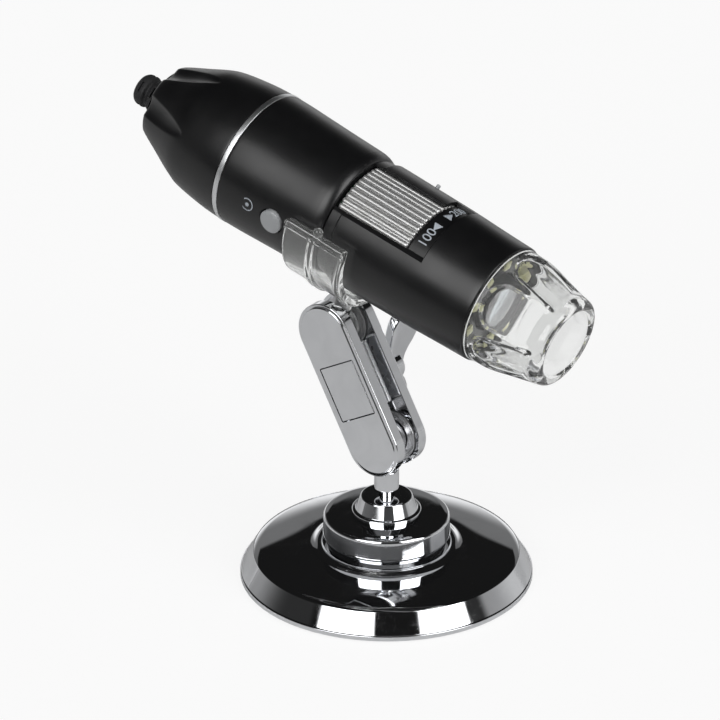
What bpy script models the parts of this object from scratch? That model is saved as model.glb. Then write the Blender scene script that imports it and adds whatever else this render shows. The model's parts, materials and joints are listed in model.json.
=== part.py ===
"""A small USB digital microscope on its chrome desk stand.

The tube is a black barrel with a fluted tail, a ribbed focus wheel in a window, a snap button and
a clear fluted nose. It turns in a clear clip, whose ball sits in one end of a two-plate chrome arm.
The other end of the arm holds the ball of a post on a round weighted base.

Metres, +Z up. The origin is the centre of the base's underside, +X points the way the microscope
looks, and -Y is the side with the snap button.
"""

import math

import bmesh
import bpy
from mathutils import Matrix, Vector

# Shared clearances and mesh fineness
FIT_GAP = 0.0003
SEAM_GAP = 0.00015
OVERRUN = 0.003
WELD_DISTANCE = 0.000001
SHARP_ANGLE = math.radians(35)
BASE_STEPS = 42
TUBE_STEPS = 42
FLUTE_STEPS = 48
NOSE_STEPS = 36
ARM_STEPS = 24
BALL_STEPS = 20
SMALL_STEPS = 16
TINY_STEPS = 12
BALL_ARC_STEPS = 8
CUP_ARC_STEPS = 3

# Round base, from the rim up
BASE_RADIUS = 0.0334
BASE_LIP_BOTTOM = 0.0004
BASE_LIP_TOP = 0.0015
BASE_LIP_WIDTH = 0.0004
BASE_BEVEL_WIDTH = 0.0028
BASE_BEVEL_HEIGHT = 0.0048
DOME_RISE = 0.0017
BASE_WALL = 0.0012
BEVEL_FOOT_RADIUS = BASE_RADIUS - BASE_LIP_WIDTH
BEVEL_TOP_RADIUS = BEVEL_FOOT_RADIUS - BASE_BEVEL_WIDTH
BEVEL_TOP_HEIGHT = BASE_LIP_TOP + BASE_BEVEL_HEIGHT
DOME_HEIGHT = BEVEL_TOP_HEIGHT + DOME_RISE
DOME_SHARES = (1.0, 0.75, 0.5, 0.25, 0.0)
PAD_THICKNESS = 0.0010
WEIGHT_HOLE_MARGIN = 0.0026
WEIGHT_RIM_MARGIN = 0.0040

# Drum, bead and collar that stand on the base
DRUM_RADIUS = 0.01445
DRUM_HEIGHT = 0.00755
DRUM_FOOT_SHARE = 0.941
DRUM_TOP_SHARE = 0.927
DRUM_BULGE_SHARE = 0.75
DRUM_SIDE_SHARES = (0.333, 0.667, 1.0)
DRUM_RIM_SHARES = (0.5, 0.85)
BEAD_WIDTH = 0.0026
BEAD_HEIGHT = 0.0010
BEAD_FLANK_SHARE = 0.7
BEAD_INNER_RADIUS = DRUM_RADIUS + SEAM_GAP
BEAD_OUTER_RADIUS = BEAD_INNER_RADIUS + BEAD_WIDTH
DOME_FLAT_RADIUS = BEAD_OUTER_RADIUS
DRUM_TOP_HEIGHT = DOME_HEIGHT + FIT_GAP + DRUM_HEIGHT
COLLAR_RADIUS = 0.0079
COLLAR_THICKNESS = 0.00105
CONE_HEIGHT = 0.0033
CONE_FOOT_SHARE = 0.886
CONE_TOP_SHARE = 0.734
COLLAR_FLANGE_TOP = DRUM_TOP_HEIGHT + COLLAR_THICKNESS
CONE_TOP_HEIGHT = COLLAR_FLANGE_TOP + CONE_HEIGHT

# Post and the screw that meets it inside the drum
BALL_RADIUS = 0.0045
POST_RADIUS = 0.00285
POST_LENGTH = 0.0048
POST_NECK_RADIUS = 0.00155
POST_NECK_LENGTH = 0.0016
BALL_NECK_RADIUS = 0.0018
BALL_NECK_LENGTH = 0.0031
BOLT_RADIUS = 0.0015
SCREW_HEAD_RADIUS = 0.0034
SCREW_HEAD_HEIGHT = 0.0018
SCREW_REACH = 0.0028
POST_NECK_TOP = CONE_TOP_HEIGHT + POST_NECK_LENGTH
POST_TOP = POST_NECK_TOP + POST_LENGTH
LOWER_BALL_HEIGHT = POST_TOP + BALL_NECK_LENGTH + BALL_RADIUS

# Two-plate arm, from the balls outwards
ARM_LEAN = math.radians(29.1)
ARM_BALL_SPACING = 0.0280
CUP_WALL = 0.0015
CUP_INNER_SHARE = 0.511
CUP_POLE_SHARE = 0.333
PLATE_RIM = 0.0011
PLATE_SKIN = 0.00062
PLATE_EDGE_INSET = 0.0013
PLATE_EDGE_ROUND = 0.0009
PLATE_EDGE_SHARES = ((0.0, 0.0), (0.55, 0.22), (0.85, 0.55), (1.0, 1.0))
CUP_RADIUS = BALL_RADIUS + CUP_WALL
CUP_INNER_FACE = BALL_RADIUS * CUP_INNER_SHARE
CUP_OUTER_FACE = BALL_RADIUS + FIT_GAP
PLATE_RADIUS = CUP_RADIUS + PLATE_RIM
PLATE_INNER_FACE = CUP_INNER_FACE + FIT_GAP
POCKET_FLOOR = CUP_OUTER_FACE + FIT_GAP
PLATE_OUTER_FACE = POCKET_FLOOR + PLATE_SKIN
PANEL_LENGTH = 0.0130
PANEL_WIDTH = 0.0102
PANEL_DEPTH = 0.0012
BOLT_ALONG = ARM_BALL_SPACING / 2
BOLT_HEAD_RADIUS = 0.0026
BOLT_HEAD_MARGIN = 0.0004
BOLT_HEAD_FLOOR = PLATE_INNER_FACE + BOLT_HEAD_MARGIN
BALL_ROOM = 0.0005
BLOCK_HEIGHT = 0.0026
BLOCK_WIDTH = 0.0060
BLOCK_THICKNESS = 0.0040
SPACER_WIDTH = 0.0104
SPACER_THICKNESS = 0.0010
BLOCK_BOTTOM = BALL_RADIUS + BALL_ROOM
SPACER_BOTTOM = BLOCK_BOTTOM + BLOCK_HEIGHT + FIT_GAP
SPACER_TOP = ARM_BALL_SPACING - BALL_RADIUS - BALL_ROOM

# Wing knob on the far side of the arm. Wing points are (reach, depth), from the root out and back.
KNOB_TURN = math.radians(40)
KNOB_HUB_RADIUS = 0.0035
KNOB_HUB_LENGTH = 0.0062
KNOB_CHAMFER_SHARE = 0.2
KNOB_WING_START = 0.0020
KNOB_WING_REACH = 0.0145
KNOB_WING_DEPTH = 0.0105
KNOB_WING_THICKNESS = 0.0026
KNOB_EDGE_SHARE = 0.125
KNOB_BOLT_DEPTH = 0.0038
WING_SHARES = (
    (0.10, 0.05), (0.55, 0.00), (0.86, 0.06), (0.97, 0.22), (1.00, 0.50), (0.97, 0.80),
    (0.86, 0.95), (0.68, 1.00), (0.48, 0.94), (0.30, 0.76), (0.14, 0.62),
)

# Tube: stations run forward from the centre of the silver ring, and table points are (station, radius)
TUBE_DIP = math.radians(14.66)
TUBE_RADIUS = 0.0161
REAR_CAP_LENGTH = 0.0272
REAR_CAP_SHARES = (
    (1.000, 0.534), (0.972, 0.580), (0.908, 0.634), (0.770, 0.737), (0.636, 0.839), (0.540, 0.900),
    (0.441, 0.935), (0.310, 0.966), (0.176, 0.991),
)
REAR_CAP_INNER_SHARES = (0.35, 0.54, 0.73, 0.91)
REAR_CAP_WALL = 0.0017
TAIL_FLUTES = 6
TAIL_FLUTE_ANGLE = math.radians(71)
TAIL_FLUTE_LENGTH = 0.0142
TAIL_FLUTE_HALF_WIDTH = 0.0026
TAIL_FLUTE_DEPTH = 0.0011
RING_WIDTH = 0.0011
RING_PROUD = 0.0001
RING_WALL = 0.0009
BODY_END = 0.0282
BODY_SHARES = (
    (0.18, 0.997), (0.53, 0.975), (0.86, 0.958), (0.92, 0.948), (0.97, 0.922), (1.00, 0.901),
)
BODY_WALL = 0.0022
BODY_INNER_RADIUS = TUBE_RADIUS - BODY_WALL

# Focus wheel and the sleeve it turns on
WHEEL_SINK = 0.00245
WHEEL_WALL = 0.00135
WHEEL_RIB_DEPTH = 0.0005
WHEEL_RIBS = 56
WHEEL_SIDE_GAP = 0.0004
SLEEVE_WALL = 0.0012
SLEEVE_SETBACK = 0.0009
WHEEL_RADIUS = TUBE_RADIUS - WHEEL_SINK
WHEEL_INNER_RADIUS = WHEEL_RADIUS - WHEEL_WALL
SLEEVE_OUTER_RADIUS = WHEEL_INNER_RADIUS - FIT_GAP
SLEEVE_INNER_RADIUS = SLEEVE_OUTER_RADIUS - SLEEVE_WALL

# Front shell with the focus window and the dial's recess
NECK_LENGTH = 0.0028
NECK_SHARE = 0.894
FRONT_SHELL_LENGTH = 0.0403
FRONT_MIDDLE_SHARE = 0.603
FRONT_SHELL_SHARES = (0.9255, 0.9068, 0.8758)
FRONT_EDGE_ROUND = 0.0003
WHEEL_ROOM_LENGTH = 0.0202
DIAL_LENGTH = 0.0050
DIAL_RISE = 0.0002
DIAL_SINK = 0.00055
NOSE_ROOM_DEPTH = 0.0031
NOSE_ROOM_WALL = 0.0012
WINDOW_NEAR_ANGLE = math.radians(58)
WINDOW_FAR_ANGLE = math.radians(-5)
DIAL_FAR_ANGLE = math.radians(-25)
WINDOW_STEPS = 12
NECK_END = BODY_END + NECK_LENGTH
FRONT_SHELL_END = BODY_END + FRONT_SHELL_LENGTH
FRONT_SHELL_MIDDLE = BODY_END + FRONT_SHELL_LENGTH * FRONT_MIDDLE_SHARE
FRONT_SHELL_RADIUS = TUBE_RADIUS * FRONT_SHELL_SHARES[0]
FRONT_EDGE_RADIUS = TUBE_RADIUS * FRONT_SHELL_SHARES[2]
WHEEL_ROOM_RADIUS = WHEEL_RADIUS + FIT_GAP
WHEEL_ROOM_END = BODY_END + WHEEL_ROOM_LENGTH
WHEEL_START = BODY_END + WHEEL_SIDE_GAP
WHEEL_END = WHEEL_ROOM_END - WHEEL_SIDE_GAP
DIAL_RADIUS = WHEEL_RADIUS + DIAL_RISE
DIAL_FLOOR = WHEEL_RADIUS - DIAL_SINK
SLEEVE_SEAT_START = WHEEL_ROOM_END + DIAL_LENGTH + FIT_GAP
NOSE_ROOM_RADIUS = FRONT_EDGE_RADIUS - NOSE_ROOM_WALL
NOSE_ROOM_START = FRONT_SHELL_END - NOSE_ROOM_DEPTH
SLEEVE_END = NOSE_ROOM_START - SLEEVE_SETBACK

# Lens, its barrel and the ring of lights in front of it
BOARD_THICKNESS = 0.0012
LENS_RADIUS_SHARE = 0.298
LENS_THICKNESS = 0.0020
LENS_BULGE = 0.0006
LENS_SHARES = (1.0, 0.75, 0.5, 0.25, 0.0)
LENS_TRAVEL = 0.0030
SNOUT_WALL = 0.0018
SNOUT_LENGTH = 0.0073
BARREL_LENGTH = 0.0182
BARREL_WALL = 0.0016
LIGHT_COUNT = 10
LIGHT_ANGLE = math.radians(37)
LIGHT_SIZE_SHARE = 0.37
LIGHT_HEIGHT = 0.0012
LIGHT_BOARD_START = NOSE_ROOM_START + FIT_GAP
LIGHT_BOARD_RADIUS = NOSE_ROOM_RADIUS - FIT_GAP
LENS_RADIUS = TUBE_RADIUS * LENS_RADIUS_SHARE
SNOUT_RADIUS = LENS_RADIUS + SNOUT_WALL
LIGHT_BOARD_HOLE = SNOUT_RADIUS + 2 * FIT_GAP
LIGHT_CIRCLE = (LIGHT_BOARD_HOLE + LIGHT_BOARD_RADIUS) / 2
LIGHT_SIZE = (LIGHT_BOARD_RADIUS - LIGHT_BOARD_HOLE) * LIGHT_SIZE_SHARE
BARREL_RADIUS = SLEEVE_INNER_RADIUS - FIT_GAP
BARREL_SHOULDER = LIGHT_BOARD_START - LENS_TRAVEL - FIT_GAP - SEAM_GAP
BARREL_START = BARREL_SHOULDER - BARREL_LENGTH
SNOUT_END = BARREL_SHOULDER + SNOUT_LENGTH

# Snap button, with the switch and boards behind it
BUTTON_STATION = 0.0158
BUTTON_ANGLE = math.radians(95.6)
BUTTON_RADIUS = 0.00285
BUTTON_RISE = 0.0004
BUTTON_TRAVEL = 0.0006
BUTTON_FLANGE_WIDTH = 0.00085
BUTTON_FLANGE_GAP = 0.0008
BUTTON_FLANGE_HEIGHT = 0.0007
BUTTON_CROWN_SHARES = (0.9, 0.7, 0.4, 0.0)
SWITCH_SIZE = 0.0060
SWITCH_HEIGHT = 0.0038
MAIN_BOARD_START = 0.0036
MAIN_BOARD_WIDTH_SHARE = 0.805
SENSOR_SETBACK = 0.0011
SENSOR_SIZE = 0.0070
SENSOR_THICKNESS = 0.0011
BUTTON_FLANGE_TOP = BODY_INNER_RADIUS - BUTTON_FLANGE_GAP
BUTTON_FOOT = BUTTON_FLANGE_TOP - BUTTON_FLANGE_HEIGHT
BUTTON_CROWN = TUBE_RADIUS + BUTTON_RISE
SWITCH_TOP = BUTTON_FOOT - BUTTON_TRAVEL - SEAM_GAP
SWITCH_BOTTOM = SWITCH_TOP - SWITCH_HEIGHT
SENSOR_BOARD_START = BODY_END - SENSOR_SETBACK
SENSOR_BOARD_RADIUS = SLEEVE_OUTER_RADIUS
SLEEVE_START = SENSOR_BOARD_START + BOARD_THICKNESS + FIT_GAP

# Clear nose
NOSE_LENGTH = 0.0183
NOSE_SEAM = 0.0002
NOSE_SHARES = (
    (0.00, 1.000), (0.07, 0.982), (0.15, 0.976), (0.24, 0.971), (0.38, 0.940), (0.55, 0.884),
    (0.72, 0.832), (0.80, 0.806), (0.89, 0.780), (0.95, 0.763), (0.985, 0.727), (1.00, 0.690),
)
NOSE_MOUTH_SHARES = ((1.00, 0.640), (0.97, 0.612))
NOSE_INNER_SHARES = (
    (0.84, 0.620), (0.72, 0.712), (0.55, 0.774), (0.38, 0.828), (0.24, 0.850), (0.15, 0.850),
    (0.04, 0.850),
)
NOSE_FLUTES = 6
NOSE_FLUTE_ANGLE = math.radians(57)
NOSE_FLUTE_HALF_WIDTH = 0.0056
NOSE_FLUTE_DEPTH = 0.0014
NOSE_FLUTE_START_SHARE = 0.10
NOSE_FLUTE_ARCH_SHARE = 0.22
NOSE_FLUTE_FADE_SHARE = 0.72
NOSE_FLUTE_END_SHARE = 0.88
SPIGOT_LENGTH = 0.0013
SPIGOT_WALL = 0.0009
NOSE_START = FRONT_SHELL_END + NOSE_SEAM
NOSE_REAR_RADIUS = FRONT_EDGE_RADIUS - NOSE_SEAM

# Cable gland and the index pin
GLAND_LENGTH = 0.0074
GLAND_LOBE_RADIUS = 0.0039
GLAND_FOOT_RADIUS = 0.0030
GLAND_FOOT_THICKNESS = 0.0012
GLAND_BORE_RADIUS = 0.0015
GLAND_SHANK_RADIUS = 0.0024
GLAND_SHARES = (
    (0.00, 0.72), (0.04, 0.84), (0.14, 0.95), (0.34, 0.97), (0.43, 0.80), (0.49, 0.80),
    (0.58, 1.00), (0.82, 1.00), (0.92, 0.84), (1.00, 0.80),
)
GLAND_SLOT_SHARES = (0.24, 0.70)
GLAND_SLOT_LENGTH = 0.0010
GLAND_SLOT_WIDTH = 0.0024
GLAND_SLOT_DEPTH = 0.0009
GLAND_SLOTS = 4
GLAND_SLOT_ANGLE = math.radians(52)
TAIL_HOLE_RADIUS = GLAND_SHANK_RADIUS + FIT_GAP
PIN_SETBACK = 0.0074
PIN_ANGLE = math.radians(-36)
PIN_RADIUS = 0.0005
PIN_LENGTH = 0.0006
PIN_STATION = WHEEL_ROOM_END - PIN_SETBACK
PIN_FOOT = FRONT_SHELL_RADIUS + SEAM_GAP

# Clip, whose middle is over the joint between the two shells
CLIP_OFFSET = 0.0017
CLIP_REACH_BACK = 0.0094
CLIP_REACH_FORWARD = 0.0069
CLIP_TUBE_SHARE = 0.9876
CLIP_WALL = 0.0017
CLIP_RIB_RISE = 0.0005
CLIP_RIB_WIDTH = 0.0006
CLIP_RIB_SETBACK = 0.0019
CLIP_RIB_SPACING = 0.0014
CLIP_RIM_WIDTH = 0.0014
CLIP_SLOPE_SHARE = 0.25
CLIP_HALF_ANGLE = math.radians(98)
CLIP_STEPS = 20
LIP_BAR_RADIUS = 0.0013
NUB_RADIUS = 0.00115
NUB_SETBACK = 0.0009
NUB_ANGLE = math.radians(77.6)
STEM_REACH = 0.0110
STEM_RADIUS = 0.0020
STEM_FLARE_RADIUS = 0.0042
STEM_FLARE_LENGTH = 0.0030
CLIP_STATION = BODY_END + CLIP_OFFSET
CLIP_REAR = CLIP_STATION - CLIP_REACH_BACK
CLIP_FRONT = CLIP_STATION + CLIP_REACH_FORWARD
CLIP_RIB_STATION = CLIP_STATION - CLIP_RIB_SETBACK
CLIP_INNER_RADIUS = TUBE_RADIUS * CLIP_TUBE_SHARE
CLIP_OUTER_RADIUS = CLIP_INNER_RADIUS + CLIP_WALL
LIP_BAR_REACH = CLIP_INNER_RADIUS + LIP_BAR_RADIUS
NUB_STATION = CLIP_STATION - NUB_SETBACK
STEM_LENGTH = CLIP_OUTER_RADIUS + STEM_REACH
STEM_FLARE_TOP = CLIP_OUTER_RADIUS + FIT_GAP
STEM_FLARE_FOOT = STEM_FLARE_TOP + STEM_FLARE_LENGTH

# Colours: linear RGB, roughness, metallic
CHROME = ((0.72, 0.73, 0.75), 0.06, 1.0)
STEEL = ((0.42, 0.42, 0.43), 0.35, 1.0)
SATIN_BLACK = ((0.012, 0.012, 0.013), 0.38, 0.0)
BLACK_RUBBER = ((0.010, 0.010, 0.010), 0.75, 0.0)
SILVER = ((0.70, 0.71, 0.72), 0.25, 1.0)
WHEEL_METAL = ((0.55, 0.57, 0.58), 0.25, 1.0)
CLEAR = ((0.90, 0.92, 0.93), 0.05, 0.0)
GREY_PLASTIC = ((0.62, 0.63, 0.65), 0.35, 0.0)
BOARD_GREEN = ((0.02, 0.12, 0.05), 0.45, 0.0)
BOARD_BLACK = ((0.015, 0.015, 0.017), 0.45, 0.0)
LIGHT_YELLOW = ((0.85, 0.85, 0.45), 0.30, 0.0)
LENS_GLASS = ((0.35, 0.40, 0.42), 0.03, 0.0)


def clear_scene():
    for obj in list(bpy.data.objects):
        bpy.data.objects.remove(obj, do_unlink=True)


def make_material(name, finish):
    colour, roughness, metallic = finish
    made = bpy.data.materials.new(name + "_finish")
    made.use_nodes = True
    shader = made.node_tree.nodes["Principled BSDF"]
    shader.inputs["Base Color"].default_value = (*colour, 1.0)
    shader.inputs["Roughness"].default_value = roughness
    shader.inputs["Metallic"].default_value = metallic
    made.diffuse_color = (*colour, 1.0)
    return made


def add_empty(name, place, turn=(0.0, 0.0, 0.0), parent=None):
    empty = bpy.data.objects.new(name, None)
    bpy.context.scene.collection.objects.link(empty)
    empty.parent = parent
    empty.location = place
    empty.rotation_euler = turn
    empty.empty_display_size = BALL_RADIUS
    return empty


def add_object(name, shape, finish, parent, place=(0.0, 0.0, 0.0), turn=(0.0, 0.0, 0.0)):
    """Turns a bmesh into an object. A finish of None makes a hidden cutter or guide."""
    bmesh.ops.remove_doubles(shape, verts=shape.verts, dist=WELD_DISTANCE)
    bmesh.ops.recalc_face_normals(shape, faces=shape.faces)
    mesh = bpy.data.meshes.new(name)
    shape.to_mesh(mesh)
    shape.free()
    obj = bpy.data.objects.new(name, mesh)
    bpy.context.scene.collection.objects.link(obj)
    obj.parent = parent
    obj.location = place
    obj.rotation_euler = turn
    if finish is None:
        obj.hide_render = True
        obj.display_type = "WIRE"
    else:
        mesh.materials.append(make_material(name, finish))
        mesh.shade_smooth()
        mesh.set_sharp_from_angle(angle=SHARP_ANGLE)
    return obj


def combine(obj, other, operation, solver="EXACT"):
    """Adds a Boolean and hides the second shape. The exact solver leaves the plates' flat faces open."""
    modifier = obj.modifiers.new(other.name, "BOOLEAN")
    modifier.operation = operation
    modifier.solver = solver
    modifier.object = other
    other.hide_render = True
    other.display_type = "WIRE"


def around_x(along, radius, angle):
    """Angle 0 is the tube's upper side, and it grows towards -Y."""
    return Vector((along, -radius * math.sin(angle), radius * math.cos(angle)))


def around_y(along, radius, angle):
    return Vector((radius * math.sin(angle), along, radius * math.cos(angle)))


def around_z(along, radius, angle):
    return Vector((radius * math.cos(angle), radius * math.sin(angle), along))


def turned(loop, steps, about, relief=None, start=0.0, sweep=None):
    """Sweeps a closed loop of (along, radius) points. With no sweep it goes all the way round."""
    shape = bmesh.new()
    full = sweep is None
    count = steps if full else steps + 1
    rings = []
    for i in range(count):
        angle = start + (math.tau if full else sweep) * i / steps
        ring = []
        for along, radius in loop:
            depth = relief(along, radius, angle) if relief else 0.0
            ring.append(shape.verts.new(about(along, radius - depth, angle)))
        rings.append(ring)
    size = len(loop)
    for i in range(steps):
        here = rings[i]
        there = rings[(i + 1) % count]
        for j in range(size):
            k = (j + 1) % size
            if max(loop[j][1], loop[k][1]) > 0.0:
                shape.faces.new((here[j], here[k], there[k], there[j]))
    if not full:
        shape.faces.new(rings[0])
        shape.faces.new(rings[-1])
    return shape


def add_turned(name, loop, finish, parent, steps, about, relief=None):
    return add_object(name, turned(loop, steps, about, relief), finish, parent)


def arc_points(centre, radius, first, last, steps):
    """Points (along, radius) of a circle arc; angles run from the +along direction."""
    points = []
    for i in range(steps + 1):
        angle = first + (last - first) * i / steps
        across = max(radius * math.sin(angle), 0.0)
        points.append((centre + radius * math.cos(angle), across))
    return points


def box(low, high):
    shape = bmesh.new()
    bmesh.ops.create_cube(shape, size=1.0)
    size = [b - a for a, b in zip(low, high)]
    middle = [(a + b) / 2 for a, b in zip(low, high)]
    bmesh.ops.scale(shape, vec=size, verts=shape.verts)
    bmesh.ops.translate(shape, vec=middle, verts=shape.verts)
    return shape


def layered(layers):
    """Joins rings of points into one solid with a flat face at each end."""
    shape = bmesh.new()
    rings = [[shape.verts.new(point) for point in layer] for layer in layers]
    for lower, upper in zip(rings, rings[1:]):
        for j in range(len(lower)):
            k = (j + 1) % len(lower)
            shape.faces.new((lower[j], lower[k], upper[k], upper[j]))
    shape.faces.new(rings[0])
    shape.faces.new(rings[-1])
    return shape


def stadium(inset, depth):
    """The arm plate's outline, drawn in by inset, at one depth along Y."""
    points = []
    half = ARM_STEPS // 2
    radius = PLATE_RADIUS - inset
    for centre, first in ((ARM_BALL_SPACING, -math.pi / 2), (0.0, math.pi / 2)):
        for i in range(half + 1):
            angle = first + math.pi * i / half
            across = radius * math.sin(angle)
            points.append((across, depth, centre + radius * math.cos(angle)))
    return points


def rod(radius, low, high, steps, about):
    return turned([(low, 0.0), (low, radius), (high, radius), (high, 0.0)], steps, about)


def dome_height(radius):
    share = (radius - DOME_FLAT_RADIUS) / (BEVEL_TOP_RADIUS - DOME_FLAT_RADIUS)
    return DOME_HEIGHT - (DOME_HEIGHT - BEVEL_TOP_HEIGHT) * share * share


def make_base(stand):
    screw_hole = BOLT_RADIUS + FIT_GAP
    outer = [
        (BASE_LIP_BOTTOM, BASE_RADIUS),
        (BASE_LIP_TOP, BASE_RADIUS),
        (BASE_LIP_TOP, BEVEL_FOOT_RADIUS),
    ]
    inner = []
    for share in DOME_SHARES:
        radius = DOME_FLAT_RADIUS + (BEVEL_TOP_RADIUS - DOME_FLAT_RADIUS) * share
        outer.append((dome_height(radius), radius))
        inner.append((dome_height(radius) - BASE_WALL, radius - BASE_WALL * share))
    foot = BASE_RADIUS - BASE_WALL
    loop = outer + [(DOME_HEIGHT, screw_hole), (DOME_HEIGHT - BASE_WALL, screw_hole)]
    loop += inner[::-1] + [(BASE_LIP_TOP, foot), (BASE_LIP_BOTTOM, foot)]
    add_turned("base_shell", loop, CHROME, stand, BASE_STEPS, around_z)

    pad = rod(foot - FIT_GAP, 0.0, PAD_THICKNESS, BASE_STEPS, around_z)
    add_object("base_pad", pad, BLACK_RUBBER, stand)

    low = PAD_THICKNESS + FIT_GAP
    high = BEVEL_TOP_HEIGHT - BASE_WALL
    hole = SCREW_HEAD_RADIUS + WEIGHT_HOLE_MARGIN
    rim = BEVEL_TOP_RADIUS - WEIGHT_RIM_MARGIN
    loop = [(low, hole), (low, rim), (high, rim), (high, hole)]
    add_turned("base_weight", loop, STEEL, stand, ARM_STEPS, around_z)


def make_drum(stand):
    foot = DOME_HEIGHT + FIT_GAP
    crest = foot + BEAD_HEIGHT
    flank = foot + BEAD_HEIGHT * BEAD_FLANK_SHARE
    middle = BEAD_INNER_RADIUS + BEAD_WIDTH / 2
    quarter = BEAD_WIDTH / 4
    loop = [
        (foot, BEAD_INNER_RADIUS),
        (foot, BEAD_OUTER_RADIUS),
        (flank, middle + quarter),
        (crest, middle),
        (flank, middle - quarter),
    ]
    add_turned("seat_ring", loop, CHROME, stand, BASE_STEPS, around_z)

    waist = DRUM_RADIUS * DRUM_FOOT_SHARE
    lid = DRUM_RADIUS * DRUM_TOP_SHARE
    widest = DRUM_HEIGHT * DRUM_BULGE_SHARE
    hole = POST_NECK_RADIUS + FIT_GAP
    loop = [(foot, hole), (foot, waist)]
    for share in DRUM_SIDE_SHARES:
        swell = math.sin(share * math.pi / 2)
        loop.append((foot + widest * share, waist + (DRUM_RADIUS - waist) * swell))
    for share in DRUM_RIM_SHARES:
        drop = 1.0 - math.sqrt(1.0 - share * share)
        rise = widest + (DRUM_HEIGHT - widest) * share
        loop.append((foot + rise, DRUM_RADIUS - (DRUM_RADIUS - lid) * drop))
    loop += [(DRUM_TOP_HEIGHT, lid), (DRUM_TOP_HEIGHT, hole)]
    add_turned("boss_drum", loop, CHROME, stand, BASE_STEPS, around_z)

    seat = DRUM_TOP_HEIGHT + FIT_GAP
    loop = [
        (seat, hole),
        (seat, COLLAR_RADIUS),
        (COLLAR_FLANGE_TOP, COLLAR_RADIUS),
        (COLLAR_FLANGE_TOP, COLLAR_RADIUS * CONE_FOOT_SHARE),
        (CONE_TOP_HEIGHT, COLLAR_RADIUS * CONE_TOP_SHARE),
        (CONE_TOP_HEIGHT, hole),
    ]
    add_turned("cone_collar", loop, CHROME, stand, ARM_STEPS, around_z)

    head_top = DOME_HEIGHT - BASE_WALL - FIT_GAP
    head_bottom = head_top - SCREW_HEAD_HEIGHT
    loop = [
        (head_bottom, 0.0),
        (head_bottom, SCREW_HEAD_RADIUS),
        (head_top, SCREW_HEAD_RADIUS),
        (head_top, BOLT_RADIUS),
        (foot + SCREW_REACH, BOLT_RADIUS),
        (foot + SCREW_REACH, 0.0),
    ]
    add_turned("base_screw", loop, STEEL, stand, SMALL_STEPS, around_z)


def ball_loop(centre, neck_radius, rise):
    """Points of a ball from its far pole round to where a neck of this radius leaves it."""
    turn = math.pi - math.asin(neck_radius / BALL_RADIUS)
    points = arc_points(centre, BALL_RADIUS, 0.0, turn, BALL_ARC_STEPS)
    if rise > 0:
        return points
    return [(2 * centre - along, across) for along, across in points]


def make_post(stand):
    bottom = DOME_HEIGHT + SCREW_REACH + 2 * FIT_GAP
    loop = ball_loop(LOWER_BALL_HEIGHT, BALL_NECK_RADIUS, 1.0)
    loop += [
        (POST_TOP, BALL_NECK_RADIUS),
        (POST_TOP, POST_RADIUS),
        (POST_NECK_TOP, POST_RADIUS),
        (POST_NECK_TOP, POST_NECK_RADIUS),
        (bottom, POST_NECK_RADIUS),
        (bottom, 0.0),
    ]
    add_turned("ball_post", loop, CHROME, stand, BALL_STEPS, around_z)


def make_cups(prefix, parent):
    """Two rings that hold a ball between the plates."""
    hollow = BALL_RADIUS + FIT_GAP
    pole = BALL_RADIUS * CUP_POLE_SHARE
    first = math.acos(CUP_INNER_FACE / hollow)
    last = math.asin(pole / hollow)
    arc = arc_points(0.0, hollow, first, last, CUP_ARC_STEPS)
    for side, word in ((-1, "near"), (1, "far")):
        loop = [(CUP_INNER_FACE, CUP_RADIUS), (CUP_OUTER_FACE, CUP_RADIUS)]
        loop += [(CUP_OUTER_FACE, pole)] + arc[::-1]
        loop = [(side * along, radius) for along, radius in loop]
        name = prefix + "_cup_" + word
        add_turned(name, loop, STEEL, parent, BALL_STEPS, around_y)


def plate_layers(side):
    edge = PLATE_OUTER_FACE - PLATE_EDGE_ROUND
    layers = [stadium(0.0, side * PLATE_INNER_FACE)]
    for depth_share, inset_share in PLATE_EDGE_SHARES:
        depth = edge + PLATE_EDGE_ROUND * depth_share
        layers.append(stadium(PLATE_EDGE_INSET * inset_share, side * depth))
    return layers


def make_plates(arm):
    pocket = CUP_RADIUS + FIT_GAP
    bolt_hole = BOLT_RADIUS + FIT_GAP
    for side, name in ((-1, "front_plate"), (1, "rear_plate")):
        plate = add_object(name, layered(plate_layers(side)), CHROME, arm)
        if side < 0:
            cut_panel_pocket(plate, arm)
        span = sorted((0.0, side * (PLATE_OUTER_FACE + OVERRUN)))
        shape = rod(bolt_hole, span[0], span[1], SMALL_STEPS, around_y)
        cutter = add_object(name + "_hole", shape, None, arm, (0.0, 0.0, BOLT_ALONG))
        combine(plate, cutter, "DIFFERENCE", "MANIFOLD")
        for along in (0.0, ARM_BALL_SPACING):
            span = sorted((0.0, side * POCKET_FLOOR))
            shape = rod(pocket, span[0], span[1], ARM_STEPS, around_y)
            cutter = add_object(name + "_pocket", shape, None, arm, (0.0, 0.0, along))
            combine(plate, cutter, "DIFFERENCE", "MANIFOLD")


def cut_panel_pocket(plate, arm):
    floor = PLATE_OUTER_FACE - PANEL_DEPTH
    wide = PANEL_WIDTH / 2
    tall = PANEL_LENGTH / 2
    low = (-wide, -PLATE_OUTER_FACE - OVERRUN, BOLT_ALONG - tall)
    high = (wide, -floor, BOLT_ALONG + tall)
    cutter = add_object("panel_pocket", box(low, high), None, arm)
    combine(plate, cutter, "DIFFERENCE", "MANIFOLD")
    head_room = BOLT_HEAD_RADIUS + FIT_GAP
    shape = rod(head_room, -floor - OVERRUN, -BOLT_HEAD_FLOOR, SMALL_STEPS, around_y)
    cutter = add_object("head_pocket", shape, None, arm, (0.0, 0.0, BOLT_ALONG))
    combine(plate, cutter, "DIFFERENCE", "MANIFOLD")


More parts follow.
